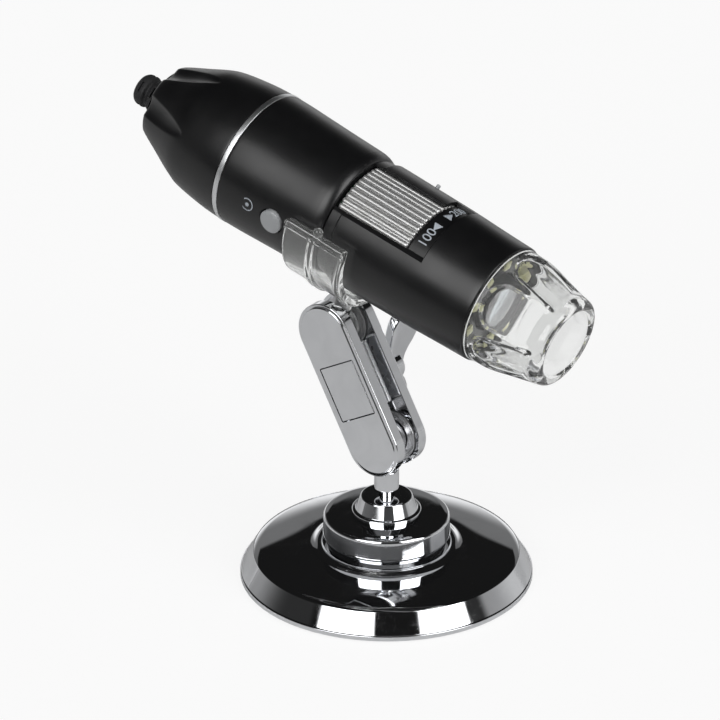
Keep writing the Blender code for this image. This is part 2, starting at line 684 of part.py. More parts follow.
def make_panel(arm):
    floor = PLATE_OUTER_FACE - PANEL_DEPTH
    wide = PANEL_WIDTH / 2 - SEAM_GAP
    tall = PANEL_LENGTH / 2 - SEAM_GAP
    low = (-wide, -PLATE_OUTER_FACE, BOLT_ALONG - tall)
    high = (wide, -floor - SEAM_GAP, BOLT_ALONG + tall)
    add_object("plate_panel", box(low, high), CHROME, arm)


def make_slot_pieces(arm):
    bolt_hole = BOLT_RADIUS + FIT_GAP
    wide = SPACER_WIDTH / 2
    for side, word in ((-1, "near"), (1, "far")):
        inside = side * SEAM_GAP
        outside = side * (SEAM_GAP + SPACER_THICKNESS)
        low = (-wide, min(inside, outside), SPACER_BOTTOM)
        high = (wide, max(inside, outside), SPACER_TOP)
        spacer = add_object("spacer_bar_" + word, box(low, high), CHROME, arm)
        shape = rod(bolt_hole, -OVERRUN, OVERRUN, SMALL_STEPS, around_y)
        cutter = add_object("spacer_hole_" + word, shape, None, arm, (0.0, 0.0, BOLT_ALONG))
        combine(spacer, cutter, "DIFFERENCE")
    half = BLOCK_THICKNESS / 2
    low = (-BLOCK_WIDTH / 2, -half, BLOCK_BOTTOM)
    high = (BLOCK_WIDTH / 2, half, BLOCK_BOTTOM + BLOCK_HEIGHT)
    add_object("stop_block", box(low, high), STEEL, arm)


def make_bolt(arm):
    head_face = PLATE_OUTER_FACE - PANEL_DEPTH - FIT_GAP
    tip = PLATE_OUTER_FACE + KNOB_BOLT_DEPTH
    loop = [
        (-head_face, 0.0),
        (-head_face, BOLT_HEAD_RADIUS),
        (-BOLT_HEAD_FLOOR - SEAM_GAP, BOLT_HEAD_RADIUS),
        (-BOLT_HEAD_FLOOR - SEAM_GAP, BOLT_RADIUS),
        (tip, BOLT_RADIUS),
        (tip, 0.0),
    ]
    shape = turned(loop, SMALL_STEPS, around_y)
    add_object("clamp_bolt", shape, STEEL, arm, (0.0, 0.0, BOLT_ALONG))


def make_knob(arm):
    pivot = add_empty("knob_pivot", (0.0, 0.0, BOLT_ALONG), (0.0, KNOB_TURN, 0.0), arm)
    start = PLATE_OUTER_FACE + FIT_GAP
    end = start + KNOB_HUB_LENGTH
    chamfer = KNOB_HUB_RADIUS * KNOB_CHAMFER_SHARE
    loop = [
        (start, 0.0),
        (start, KNOB_HUB_RADIUS),
        (end - chamfer, KNOB_HUB_RADIUS),
        (end, KNOB_HUB_RADIUS - chamfer),
        (end, 0.0),
    ]
    knob = add_turned("wing_knob", loop, CHROME, pivot, BALL_STEPS, around_y)
    root = PLATE_OUTER_FACE + KNOB_WING_START
    half = KNOB_WING_THICKNESS / 2
    outline = []
    for out, deep in WING_SHARES:
        outline.append((out * KNOB_WING_REACH, root + deep * KNOB_WING_DEPTH))
    both = outline + [(-out, deep) for out, deep in outline[::-1]]
    edge = KNOB_WING_THICKNESS * KNOB_EDGE_SHARE
    middle = root + KNOB_WING_DEPTH / 2
    layers = []
    for across, inset in ((-half, edge), (edge - half, 0.0), (half - edge, 0.0), (half, edge)):
        share = 1.0 - inset / KNOB_WING_DEPTH * 2
        layer = []
        for out, deep in both:
            layer.append((across, middle + (deep - middle) * share, out * share))
        layers.append(layer)
    wings = add_object("knob_wings", layered(layers), None, pivot)
    combine(knob, wings, "UNION")
    bore = BOLT_RADIUS + FIT_GAP
    shape = rod(bore, start - OVERRUN, start + KNOB_BOLT_DEPTH, SMALL_STEPS, around_y)
    combine(knob, add_object("knob_bore", shape, None, pivot), "DIFFERENCE")


def clip_profile():
    wall = CLIP_OUTER_RADIUS
    rib = wall + CLIP_RIB_RISE
    slope = CLIP_RIB_WIDTH * CLIP_SLOPE_SHARE
    points = [(CLIP_REAR, CLIP_INNER_RADIUS), (CLIP_REAR, wall)]
    for side in (-1, 1):
        middle = CLIP_RIB_STATION + side * CLIP_RIB_SPACING / 2
        low = middle - CLIP_RIB_WIDTH / 2
        high = middle + CLIP_RIB_WIDTH / 2
        points += [(low - slope, wall), (low, rib), (high, rib), (high + slope, wall)]
    rim = CLIP_FRONT - CLIP_RIM_WIDTH
    points += [(rim - slope, wall), (rim, rib), (CLIP_FRONT - slope, rib), (CLIP_FRONT, wall)]
    points.append((CLIP_FRONT, CLIP_INNER_RADIUS))
    return points


def make_clip(tube):
    sweep = 2 * CLIP_HALF_ANGLE
    first = math.pi - CLIP_HALF_ANGLE
    shape = turned(clip_profile(), CLIP_STEPS, around_x, None, first, sweep)
    clip = add_object("clip", shape, CLEAR, tube)
    rear = CLIP_REAR + SEAM_GAP
    front = CLIP_FRONT - SEAM_GAP
    for i, angle in enumerate((first, first + sweep)):
        place = around_x(0.0, LIP_BAR_REACH, angle)
        shape = rod(LIP_BAR_RADIUS, rear, front, TINY_STEPS, around_x)
        combine(clip, add_object("lip_bar_%d" % i, shape, None, tube, place), "UNION")
    place = around_x(NUB_STATION, LIP_BAR_REACH, NUB_ANGLE)
    arc = arc_points(0.0, NUB_RADIUS, 0.0, math.pi, BALL_ARC_STEPS)
    shape = turned(arc, TINY_STEPS, around_z)
    combine(clip, add_object("nub", shape, None, tube, place), "UNION")
    middle = (CLIP_INNER_RADIUS + CLIP_OUTER_RADIUS) / 2
    loop = ball_loop(-STEM_LENGTH, STEM_RADIUS, -1.0)
    loop += [
        (-STEM_FLARE_FOOT, STEM_RADIUS),
        (-STEM_FLARE_TOP, STEM_FLARE_RADIUS),
        (-middle, STEM_FLARE_RADIUS),
        (-middle, 0.0),
    ]
    shape = turned(loop, BALL_STEPS, around_z)
    stem = add_object("stem", shape, None, tube, (CLIP_STATION, 0.0, 0.0))
    combine(clip, stem, "UNION")


def angle_from(angle, first, count):
    """How far an angle is from the nearest of count evenly spaced ones."""
    pitch = math.tau / count
    return (angle - first + pitch / 2) % pitch - pitch / 2


def tail_relief(along, radius, angle):
    """Depth of the leaf-shaped flutes in the tail's outer skin."""
    outer = tail_radius(-along)
    share = (along + REAR_CAP_LENGTH) / TAIL_FLUTE_LENGTH
    if radius < outer - REAR_CAP_WALL / 2 or share >= 1.0:
        return 0.0
    across = radius * angle_from(angle, TAIL_FLUTE_ANGLE, TAIL_FLUTES)
    half = TAIL_FLUTE_HALF_WIDTH * math.sqrt(1.0 - share * share)
    side = max(0.0, 1.0 - (across / half) ** 2)
    return TAIL_FLUTE_DEPTH * math.sqrt(1.0 - share) * side


def tail_radius(back):
    """The tail's outer radius this far behind the silver ring."""
    share = min(max(back / REAR_CAP_LENGTH, 0.0), 1.0)
    points = ((0.0, 1.0),) + REAR_CAP_SHARES[::-1]
    for (low, first), (high, last) in zip(points, points[1:]):
        if share <= high:
            return TUBE_RADIUS * (first + (last - first) * (share - low) / (high - low))
    return TUBE_RADIUS * points[-1][1]


def make_rear_cap(tube):
    front = -RING_WIDTH / 2 - SEAM_GAP
    outer = []
    for along, radius in REAR_CAP_SHARES:
        outer.append((-REAR_CAP_LENGTH * along, TUBE_RADIUS * radius))
    outer.append((front, TUBE_RADIUS))
    inner = [(front, TUBE_RADIUS - REAR_CAP_WALL)]
    for share in REAR_CAP_INNER_SHARES:
        back = REAR_CAP_LENGTH * share
        inner.append((-back, tail_radius(back) - REAR_CAP_WALL))
    floor = REAR_CAP_WALL - REAR_CAP_LENGTH
    tail = [(floor, TAIL_HOLE_RADIUS), (-REAR_CAP_LENGTH, TAIL_HOLE_RADIUS)]
    loop = outer + inner + tail
    add_turned("rear_cap", loop, SATIN_BLACK, tube, FLUTE_STEPS, around_x, tail_relief)


def make_ring(tube):
    half = RING_WIDTH / 2
    high = TUBE_RADIUS + RING_PROUD
    low = TUBE_RADIUS - RING_WALL
    loop = [(-half, low), (-half, high), (half, high), (half, low)]
    add_turned("silver_ring", loop, SILVER, tube, TUBE_STEPS, around_x)


def make_body_shell(tube):
    start = RING_WIDTH / 2 + SEAM_GAP
    loop = [(start, TUBE_RADIUS)]
    loop += [(BODY_END * along, TUBE_RADIUS * radius) for along, radius in BODY_SHARES]
    loop += [(BODY_END, BODY_INNER_RADIUS), (start, BODY_INNER_RADIUS)]
    body = add_turned("body_shell", loop, SATIN_BLACK, tube, TUBE_STEPS, around_x)
    button = bpy.data.objects["button_pivot"]
    hole = BUTTON_RADIUS + FIT_GAP
    shape = rod(hole, BUTTON_FOOT, BUTTON_CROWN + OVERRUN, SMALL_STEPS, around_z)
    combine(body, add_object("button_hole", shape, None, button), "DIFFERENCE")


def sector(inner, outer, low, high, first, last, steps):
    loop = [(low, inner), (low, outer), (high, outer), (high, inner)]
    return turned(loop, steps, around_x, None, first, last - first)


def make_front_shell(tube):
    start = BODY_END + SEAM_GAP
    rear, middle, front = [TUBE_RADIUS * share for share in FRONT_SHELL_SHARES]
    neck = TUBE_RADIUS * NECK_SHARE
    seat = SLEEVE_OUTER_RADIUS + FIT_GAP
    floor = DIAL_FLOOR - FIT_GAP
    loop = [
        (start, neck),
        (NECK_END, neck),
        (NECK_END, rear - FRONT_EDGE_ROUND),
        (NECK_END + FRONT_EDGE_ROUND, rear),
        (FRONT_SHELL_MIDDLE, middle),
        (FRONT_SHELL_END - FRONT_EDGE_ROUND, front),
        (FRONT_SHELL_END, front - FRONT_EDGE_ROUND),
        (FRONT_SHELL_END, NOSE_ROOM_RADIUS),
        (NOSE_ROOM_START, NOSE_ROOM_RADIUS),
        (NOSE_ROOM_START, seat),
        (SLEEVE_SEAT_START, seat),
        (SLEEVE_SEAT_START, floor),
        (WHEEL_ROOM_END, floor),
        (WHEEL_ROOM_END, WHEEL_ROOM_RADIUS),
        (start, WHEEL_ROOM_RADIUS),
    ]
    shell = add_turned("front_shell", loop, SATIN_BLACK, tube, TUBE_STEPS, around_x)
    outside = rear + OVERRUN
    shape = sector(
        SLEEVE_OUTER_RADIUS, outside, start - OVERRUN, WHEEL_ROOM_END,
        WINDOW_FAR_ANGLE, WINDOW_NEAR_ANGLE, WINDOW_STEPS,
    )
    combine(shell, add_object("window_cut", shape, None, tube), "DIFFERENCE")
    shape = sector(
        DIAL_FLOOR, outside, WHEEL_ROOM_END - FIT_GAP, WHEEL_ROOM_END + DIAL_LENGTH,
        DIAL_FAR_ANGLE, WINDOW_NEAR_ANGLE, WINDOW_STEPS,
    )
    combine(shell, add_object("dial_cut", shape, None, tube), "DIFFERENCE")


def make_dial(tube):
    low = WHEEL_ROOM_END + SEAM_GAP
    high = WHEEL_ROOM_END + DIAL_LENGTH - SEAM_GAP
    margin = SEAM_GAP / DIAL_RADIUS
    shape = sector(
        DIAL_FLOOR + SEAM_GAP, DIAL_RADIUS, low, high,
        DIAL_FAR_ANGLE + margin, WINDOW_NEAR_ANGLE - margin, WINDOW_STEPS,
    )
    add_object("dial_strip", shape, SATIN_BLACK, tube)


def make_wheel(tube):
    valley = WHEEL_RADIUS - WHEEL_RIB_DEPTH
    steps = 2 * WHEEL_RIBS
    shape = bmesh.new()
    rings = []
    ends = ((WHEEL_START, False), (WHEEL_END, False), (WHEEL_END, True), (WHEEL_START, True))
    for along, inside in ends:
        ring = []
        for i in range(steps):
            outside = WHEEL_RADIUS if i % 2 else valley
            radius = WHEEL_INNER_RADIUS if inside else outside
            ring.append(shape.verts.new(around_x(along, radius, math.tau * i / steps)))
        rings.append(ring)
    for k in range(4):
        here = rings[k]
        there = rings[(k + 1) % 4]
        for i in range(steps):
            j = (i + 1) % steps
            shape.faces.new((here[i], here[j], there[j], there[i]))
    add_object("focus_wheel", shape, WHEEL_METAL, tube)


def make_lens_parts(tube):
    loop = [
        (SLEEVE_START, SLEEVE_INNER_RADIUS),
        (SLEEVE_START, SLEEVE_OUTER_RADIUS),
        (SLEEVE_END, SLEEVE_OUTER_RADIUS),
        (SLEEVE_END, SLEEVE_INNER_RADIUS),
    ]
    add_turned("focus_sleeve", loop, BLACK_RUBBER, tube, ARM_STEPS, around_x)

    seat = LENS_RADIUS + FIT_GAP
    bore = BARREL_RADIUS - BARREL_WALL
    lens_back = SNOUT_END - LENS_THICKNESS
    loop = [
        (BARREL_START, bore),
        (BARREL_START, BARREL_RADIUS),
        (BARREL_SHOULDER, BARREL_RADIUS),
        (BARREL_SHOULDER, SNOUT_RADIUS),
        (SNOUT_END, SNOUT_RADIUS),
        (SNOUT_END, seat),
        (lens_back - FIT_GAP, seat),
        (lens_back - FIT_GAP, seat - BARREL_WALL),
        (BARREL_SHOULDER - BARREL_WALL, seat - BARREL_WALL),
        (BARREL_SHOULDER - BARREL_WALL, bore),
    ]
    add_turned("lens_barrel", loop, BLACK_RUBBER, tube, ARM_STEPS, around_x)

    edge = SNOUT_END - LENS_BULGE
    loop = [(lens_back, 0.0), (lens_back, LENS_RADIUS)]
    for share in LENS_SHARES:
        loop.append((edge + LENS_BULGE * (1.0 - share * share), LENS_RADIUS * share))
    add_turned("lens", loop, LENS_GLASS, tube, ARM_STEPS, around_x)


def make_boards(tube, button):
    end = SENSOR_BOARD_START + BOARD_THICKNESS
    shape = rod(SENSOR_BOARD_RADIUS, SENSOR_BOARD_START, end, ARM_STEPS, around_x)
    add_object("sensor_board", shape, BOARD_GREEN, tube)
    half = SENSOR_SIZE / 2
    face = end + SEAM_GAP
    shape = box((face, -half, -half), (face + SENSOR_THICKNESS, half, half))
    add_object("image_sensor", shape, BOARD_BLACK, tube)

    first = MAIN_BOARD_START - BUTTON_STATION
    last = SENSOR_BOARD_START - FIT_GAP - BUTTON_STATION
    top = SWITCH_BOTTOM - SEAM_GAP
    wide = BODY_INNER_RADIUS * MAIN_BOARD_WIDTH_SHARE
    low = (first, -wide, top - BOARD_THICKNESS)
    high = (last, wide, top)
    add_object("main_board", box(low, high), BOARD_GREEN, button)
    half = SWITCH_SIZE / 2
    shape = box((-half, -half, SWITCH_BOTTOM), (half, half, SWITCH_TOP))
    add_object("button_switch", shape, BOARD_BLACK, button)


def make_lights(tube):
    end = LIGHT_BOARD_START + BOARD_THICKNESS
    loop = [
        (LIGHT_BOARD_START, LIGHT_BOARD_HOLE),
        (LIGHT_BOARD_START, LIGHT_BOARD_RADIUS),
        (end, LIGHT_BOARD_RADIUS),
        (end, LIGHT_BOARD_HOLE),
    ]
    add_turned("light_board", loop, BOARD_BLACK, tube, ARM_STEPS, around_x)
    half = LIGHT_SIZE / 2
    face = end + SEAM_GAP
    for i in range(LIGHT_COUNT):
        angle = LIGHT_ANGLE + math.tau * i / LIGHT_COUNT
        low = (face, -half, LIGHT_CIRCLE - half)
        high = (face + LIGHT_HEIGHT, half, LIGHT_CIRCLE + half)
        name = "light_%02d" % (i + 1)
        add_object(name, box(low, high), LIGHT_YELLOW, tube, turn=(angle, 0.0, 0.0))


def nose_relief(along, radius, angle):
    """Depth of the six broad flutes, which the clear wall follows inside and out."""
    share = (along - NOSE_START) / NOSE_LENGTH
    if share <= NOSE_FLUTE_START_SHARE or share >= NOSE_FLUTE_END_SHARE:
        return 0.0
    rise = min(1.0, (share - NOSE_FLUTE_START_SHARE) / NOSE_FLUTE_ARCH_SHARE)
    arch = math.sqrt(1.0 - (1.0 - rise) ** 2)
    fade_share = NOSE_FLUTE_END_SHARE - NOSE_FLUTE_FADE_SHARE
    fade = min(1.0, (NOSE_FLUTE_END_SHARE - share) / fade_share)
    across = nose_radius(share) * angle_from(angle, NOSE_FLUTE_ANGLE, NOSE_FLUTES)
    side = max(0.0, 1.0 - (across / (NOSE_FLUTE_HALF_WIDTH * arch)) ** 2)
    return NOSE_FLUTE_DEPTH * arch * fade * side


def nose_radius(share):
    for (low, first), (high, last) in zip(NOSE_SHARES, NOSE_SHARES[1:]):
        if share <= high:
            return NOSE_REAR_RADIUS * (first + (last - first) * (share - low) / (high - low))
    return NOSE_REAR_RADIUS * NOSE_SHARES[-1][1]


def make_nose(tube):
    spigot = NOSE_ROOM_RADIUS - FIT_GAP
    loop = []
    for along, radius in NOSE_SHARES + NOSE_MOUTH_SHARES + NOSE_INNER_SHARES:
        loop.append((NOSE_START + NOSE_LENGTH * along, NOSE_REAR_RADIUS * radius))
    back = NOSE_START - SPIGOT_LENGTH
    loop += [(back, spigot - SPIGOT_WALL), (back, spigot), (NOSE_START, spigot)]
    add_turned("clear_nose", loop, CLEAR, tube, NOSE_STEPS, around_x, nose_relief)


def make_gland(tube):
    end = -REAR_CAP_LENGTH - SEAM_GAP
    tip = end - GLAND_LENGTH
    inside = REAR_CAP_WALL - REAR_CAP_LENGTH + FIT_GAP
    loop = [(tip, GLAND_BORE_RADIUS)]
    for along, radius in GLAND_SHARES:
        loop.append((tip + GLAND_LENGTH * along, GLAND_LOBE_RADIUS * radius))
    foot = inside + GLAND_FOOT_THICKNESS
    loop += [(end, GLAND_SHANK_RADIUS), (inside, GLAND_SHANK_RADIUS), (inside, GLAND_FOOT_RADIUS)]
    loop += [(foot, GLAND_FOOT_RADIUS), (foot, GLAND_BORE_RADIUS)]
    gland = add_turned("cable_gland", loop, BLACK_RUBBER, tube, SMALL_STEPS, around_x)
    half = GLAND_SLOT_LENGTH / 2
    wide = GLAND_SLOT_WIDTH / 2
    for share in GLAND_SLOT_SHARES:
        middle = tip + GLAND_LENGTH * share
        for i in range(GLAND_SLOTS):
            low = (middle - half, -wide, GLAND_LOBE_RADIUS - GLAND_SLOT_DEPTH)
            high = (middle + half, wide, GLAND_LOBE_RADIUS + OVERRUN)
            turn = (GLAND_SLOT_ANGLE + math.tau * i / GLAND_SLOTS, 0.0, 0.0)
            cutter = add_object("gland_slot", box(low, high), None, tube, turn=turn)
            combine(gland, cutter, "DIFFERENCE")


def make_button(button):
    flange = BUTTON_RADIUS + BUTTON_FLANGE_WIDTH
    loop = [
        (BUTTON_FOOT, 0.0),
        (BUTTON_FOOT, flange),
        (BUTTON_FLANGE_TOP, flange),
        (BUTTON_FLANGE_TOP, BUTTON_RADIUS),
        (TUBE_RADIUS, BUTTON_RADIUS),
    ]
    for share in BUTTON_CROWN_SHARES:
        rise = BUTTON_RISE * math.sqrt(1.0 - share * share)
        loop.append((TUBE_RADIUS + rise, BUTTON_RADIUS * share))
    add_turned("snap_button", loop, GREY_PLASTIC, button, BALL_STEPS, around_z)


def make_pin(tube):
    shape = rod(PIN_RADIUS, PIN_FOOT, PIN_FOOT + PIN_LENGTH, TINY_STEPS, around_z)
    turn = (PIN_ANGLE, 0.0, 0.0)
    add_object("index_pin", shape, GREY_PLASTIC, tube, (PIN_STATION, 0.0, 0.0), turn)


def make_all():
    clear_scene()
    lower = Vector((0.0, 0.0, LOWER_BALL_HEIGHT))
    arm_way = Vector((-math.sin(ARM_LEAN), 0.0, math.cos(ARM_LEAN)))
    upper = lower + arm_way * ARM_BALL_SPACING
    tube_way = Vector((math.cos(TUBE_DIP), 0.0, -math.sin(TUBE_DIP)))
    tube_up = Vector((math.sin(TUBE_DIP), 0.0, math.cos(TUBE_DIP)))
    ring = upper + tube_up * STEM_LENGTH - tube_way * CLIP_STATION

    stand = add_empty("stand_origin", (0.0, 0.0, 0.0))
    swivel = add_empty("swivel_pivot", lower)
    arm = add_empty("arm_pivot", lower, (0.0, -ARM_LEAN, 0.0))
    head = add_empty("head_pivot", upper)
    tube = add_empty("tube_axis", ring, (0.0, TUBE_DIP, 0.0))
    turn = (BUTTON_ANGLE, 0.0, 0.0)
    button = add_empty("button_pivot", (BUTTON_STATION, 0.0, 0.0), turn, tube)

    make_base(stand)
    make_drum(stand)
    make_post(stand)
    make_cups("lower", swivel)
    make_plates(arm)
    make_panel(arm)
    make_slot_pieces(arm)
    make_bolt(arm)
    make_knob(arm)
    make_cups("upper", head)
    make_clip(tube)
    make_rear_cap(tube)
    make_ring(tube)
    make_body_shell(tube)
    make_front_shell(tube)
    make_dial(tube)
    make_wheel(tube)
    make_lens_parts(tube)
    make_boards(tube, button)
    make_lights(tube)
    make_nose(tube)
    make_gland(tube)
    make_button(button)
    make_pin(tube)


make_all()
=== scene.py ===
# %% [markdown]
# A small digital microscope on a chrome desk stand, dressed for a product picture.
# The imported model gives every place and every joint. This lesson builds finer shells around it,
# one real piece at a time, and gives each the finish that the real one has. The imported model comes
# in first, and its own box is kept.

import json
import math

import bmesh
import bpy
from mathutils import Matrix, Vector

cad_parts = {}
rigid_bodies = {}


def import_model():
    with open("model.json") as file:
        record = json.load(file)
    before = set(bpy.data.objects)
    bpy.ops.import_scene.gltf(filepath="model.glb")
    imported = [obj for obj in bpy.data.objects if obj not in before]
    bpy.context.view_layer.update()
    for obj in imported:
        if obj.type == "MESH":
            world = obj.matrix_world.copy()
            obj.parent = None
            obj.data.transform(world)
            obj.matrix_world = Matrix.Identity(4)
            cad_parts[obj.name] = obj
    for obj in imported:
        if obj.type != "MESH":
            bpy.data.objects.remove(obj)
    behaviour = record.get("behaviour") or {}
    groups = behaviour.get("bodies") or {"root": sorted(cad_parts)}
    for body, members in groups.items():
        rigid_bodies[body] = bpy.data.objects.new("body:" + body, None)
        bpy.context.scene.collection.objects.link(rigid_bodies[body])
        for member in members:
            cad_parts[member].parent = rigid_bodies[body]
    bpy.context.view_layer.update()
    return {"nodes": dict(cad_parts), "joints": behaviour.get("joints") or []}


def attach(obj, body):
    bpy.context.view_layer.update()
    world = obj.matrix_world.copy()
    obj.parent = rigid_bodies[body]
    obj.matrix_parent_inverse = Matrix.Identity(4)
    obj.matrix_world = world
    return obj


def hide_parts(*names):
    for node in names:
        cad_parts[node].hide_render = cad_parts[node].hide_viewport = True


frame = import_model()
for leftover in list(bpy.data.objects):
    if leftover.name in ("Cube", "Light", "Camera"):
        bpy.data.objects.remove(leftover, do_unlink=True)

# %% [markdown]
# Drawings of turned pieces are easiest in the piece's own directions. The arm has one set, leaning
# back from the lower ball, and the tube has another, dipping forward from its silver ring. Both
# come from the joints, so they can't drift from the model.

# %% Directions of the stand, the arm and the tube
MM = 0.001
joints = {joint["name"]: joint for joint in frame["joints"]}
lower_ball = Vector(joints["arm_tilt"]["pos_m"])
upper_ball = Vector(joints["head_tilt"]["pos_m"])
ring_centre = Vector(joints["tube_turn"]["pos_m"])
tube_way = Vector(joints["tube_turn"]["axis"]).normalized()
arm_way = (upper_ball - lower_ball).normalized()
SIDEWAYS = Vector((0, 1, 0))


def placed(origin, along_x, along_z):
    """A matrix with its X and Z along these directions."""
    columns = (along_x, along_z.cross(along_x), along_z)
    turn = Matrix([[column[row] for column in columns] for row in range(3)])
    return Matrix.Translation(origin) @ turn.to_4x4()


STAND = Matrix.Identity(4)
ARM = placed(lower_ball, SIDEWAYS.cross(arm_way), arm_way)
HEAD = Matrix.Translation(upper_ball)
SWIVEL = Matrix.Translation(lower_ball)
TUBE = placed(ring_centre, tube_way.cross(SIDEWAYS), tube_way)
ARM_SPAN = (upper_ball - lower_ball).length
print("arm span %.2f mm, tube dips %.2f degrees" % (ARM_SPAN / MM, math.degrees(math.asin(-tube_way.z))))

# %% [markdown]
# The picture was taken with a long lens, from the right of the tube's nose and a little above. A
# long lens keeps the round base and the ends of the tube close to true ellipses. The camera's place
# is given from its own three directions, because that is how the fit to the outline was made.


# %% Camera
def new_object(name, data):
    """An object in the scene that holds a camera, a mesh or some text."""
    made = bpy.data.objects.new(name, data)
    bpy.context.scene.collection.objects.link(made)
    return made


CAMERA_TURN = math.radians(36.48)
CAMERA_RISE = math.radians(26.19)
CAMERA_OFFSET = Vector((-6.018, 48.456, 1367.14)) * MM
camera_right = Vector((math.cos(CAMERA_TURN), math.sin(CAMERA_TURN), 0))
camera_back = Vector(
    (
        math.cos(CAMERA_RISE) * math.sin(CAMERA_TURN),
        -math.cos(CAMERA_RISE) * math.cos(CAMERA_TURN),
        math.sin(CAMERA_RISE),
    )
)
camera_up = camera_back.cross(camera_right)
lens = bpy.data.cameras.new("long_lens")
lens.lens = 300
lens.sensor_width = 36
lens.clip_start = 0.05
lens.clip_end = 60
camera = new_object("camera", lens)
axes = (camera_right, camera_up, camera_back)
camera.matrix_world = Matrix.Translation(
    camera_right * CAMERA_OFFSET.x + camera_up * CAMERA_OFFSET.y + camera_back * CAMERA_OFFSET.z
) @ Matrix([[axis[row] for axis in axes] for row in range(3)]).to_4x4()
bpy.context.scene.camera = camera
bpy.context.scene.view_settings.view_transform = "Standard"
print("camera %.0f mm away" % (camera.location.length / MM))

# %% [markdown]
# Node trees are wired with small helpers. The first adds a node and fills or links its sockets, and
# it takes the node's kind without the ShaderNode that every kind starts with. The next few add the
# kinds that come up most, and the last starts a shader group, which is a block of nodes that
# several finishes can share.


# %% Helpers for nodes
def node(tree, kind, inputs=None, **settings):
    """Adds a shader node. Inputs are numbers, colours or other nodes' sockets, by name or number."""
    made = tree.nodes.new("ShaderNode" + kind)
    for name, value in settings.items():
        setattr(made, name, value)
    for name, value in (inputs or {}).items():
        socket = made.inputs[name]
        if isinstance(value, bpy.types.NodeSocket):
            tree.links.new(value, socket)
        else:
            socket.default_value = value
    return made


def maths(tree, operation, first, second=0.0, clamp=False):
    made = node(tree, "Math", {0: first, 1: second}, operation=operation, use_clamp=clamp)
    return made.outputs[0]


def times(tree, first, second, clamp=False):
    return maths(tree, "MULTIPLY", first, second, clamp)


def ramp(tree, value, low, high, to_low=0.0, to_high=1.0):
    """A soft step from to_low to to_high as value goes from low to high."""
    inputs = {"Value": value, "From Min": low, "From Max": high, "To Min": to_low, "To Max": to_high}
    made = node(tree, "MapRange", inputs, interpolation_type="SMOOTHSTEP")
    return made.outputs["Result"]


def noise(tree, place, scale, detail, **more):
    inputs = {"Vector": place, "Scale": scale, "Detail": detail, **more}
    return node(tree, "TexNoise", inputs).outputs["Fac"]


def distance_along(tree, place, way):
    inputs = {0: place, 1: way}
    return node(tree, "VectorMath", inputs, operation="DOT_PRODUCT").outputs["Value"]


def straight_rays(tree):
    """1 for rays from the camera or through clear plastic, and all that is known of the ray."""
    rays = node(tree, "LightPath").outputs
    return maths(tree, "MAXIMUM", rays["Is Camera Ray"], rays["Is Transmission Ray"]), rays


def new_group(name, setting, value, *outputs):
    """Starts a shader group. It gives back the tree, its place and setting, and the ends to feed."""
    tree = bpy.data.node_groups.new(name, "ShaderNodeTree")
    tree.interface.new_socket("Place", in_out="INPUT", socket_type="NodeSocketVector")
    socket = tree.interface.new_socket(setting, in_out="INPUT", socket_type="NodeSocketFloat")
    socket.default_value = value
    for label in outputs:
        tree.interface.new_socket(label, in_out="OUTPUT", socket_type="NodeSocketFloat")
    place, setting = tree.nodes.new("NodeGroupInput").outputs[:2]
    return tree, place, setting, tree.nodes.new("NodeGroupOutput").inputs


# %% [markdown]
# Polished metal has almost no colour of its own: it shows the room. So the room is designed first.
# It is a white sweep behind the object that fades into a dark ceiling, and two tall soft boxes on
# the camera's side, with a dim grey ceiling above them and a grey wall on the right. A world shader
# can hold all of that by direction, which costs no lamps, and it stays put when the camera moves.
# Rays that come straight from the camera, or through the clear plastic, see plain white instead, and
# rays that have bounced about inside the plastic see a little of it.

# %% The studio room as a world
world = bpy.data.worlds.new("studio_room")
bpy.context.scene.world = world
world.use_nodes = True
room = world.node_tree
room.nodes.clear()
room_way = node(room, "TexCoord").outputs["Generated"]
split = node(room, "SeparateXYZ", {0: room_way})
height = maths(room, "ARCSINE", split.outputs["Z"])
forward = distance_along(room, room_way, (-camera_back.x, -camera_back.y, 0))
across = distance_along(room, room_way, (camera_right.x, camera_right.y, 0))
towards_camera = times(room, forward, -1 / math.cos(CAMERA_RISE))
around = maths(room, "ARCTAN2", across, towards_camera)


def between(value, low, high, soft):
    """1 between two angles in degrees, fading over a soft edge outside them."""
    low, high, soft = math.radians(low), math.radians(high), math.radians(soft)
    rising = ramp(room, value, low - soft, low)
    falling = ramp(room, value, high, high + soft, 1.0, 0.0)
    return times(room, rising, falling)


SOFT_BOXES = ((-54, -13, 15, 50), (30, 66, 10, 50))
SOFT_BOX_STRENGTH = 4.2
SOFT_BOX_EDGE = 4
DARK_CEILING = 0.010
GREY_CEILING = 0.13
GREY_WALL = 0.30
WHITE_INSIDE = 0.22
sweep_fades = (
    (height, math.radians(4), math.radians(19), 1.0, 0.17),
    (height, math.radians(24.5), math.radians(26), 1.0, 0.0),
    (towards_camera, -0.95, -0.55, 1.0, 0.30),
    (towards_camera, -0.55, 0.1, 1.0, 0.40),
)
sweep = ramp(room, *sweep_fades[0])
for fade in sweep_fades[1:]:
    sweep = times(room, sweep, ramp(room, *fade))
overhead = ramp(room, height, math.radians(54), math.radians(60))
overhead = times(room, overhead, ramp(room, towards_camera, 0.0, 0.15))
side_wall = times(room, between(around, 88, 125, 8), between(height, -5, 22, 5))
dim = maths(room, "ADD", times(room, overhead, GREY_CEILING), times(room, side_wall, GREY_WALL))
brightness = maths(room, "ADD", DARK_CEILING, maths(room, "ADD", sweep, dim))
for left, right, low, high in SOFT_BOXES:
    patch = between(around, left, right, SOFT_BOX_EDGE)
    patch = times(room, patch, between(height, low, high, SOFT_BOX_EDGE))
    brightness = maths(room, "ADD", brightness, times(room, patch, SOFT_BOX_STRENGTH))
straight, rays = straight_rays(room)
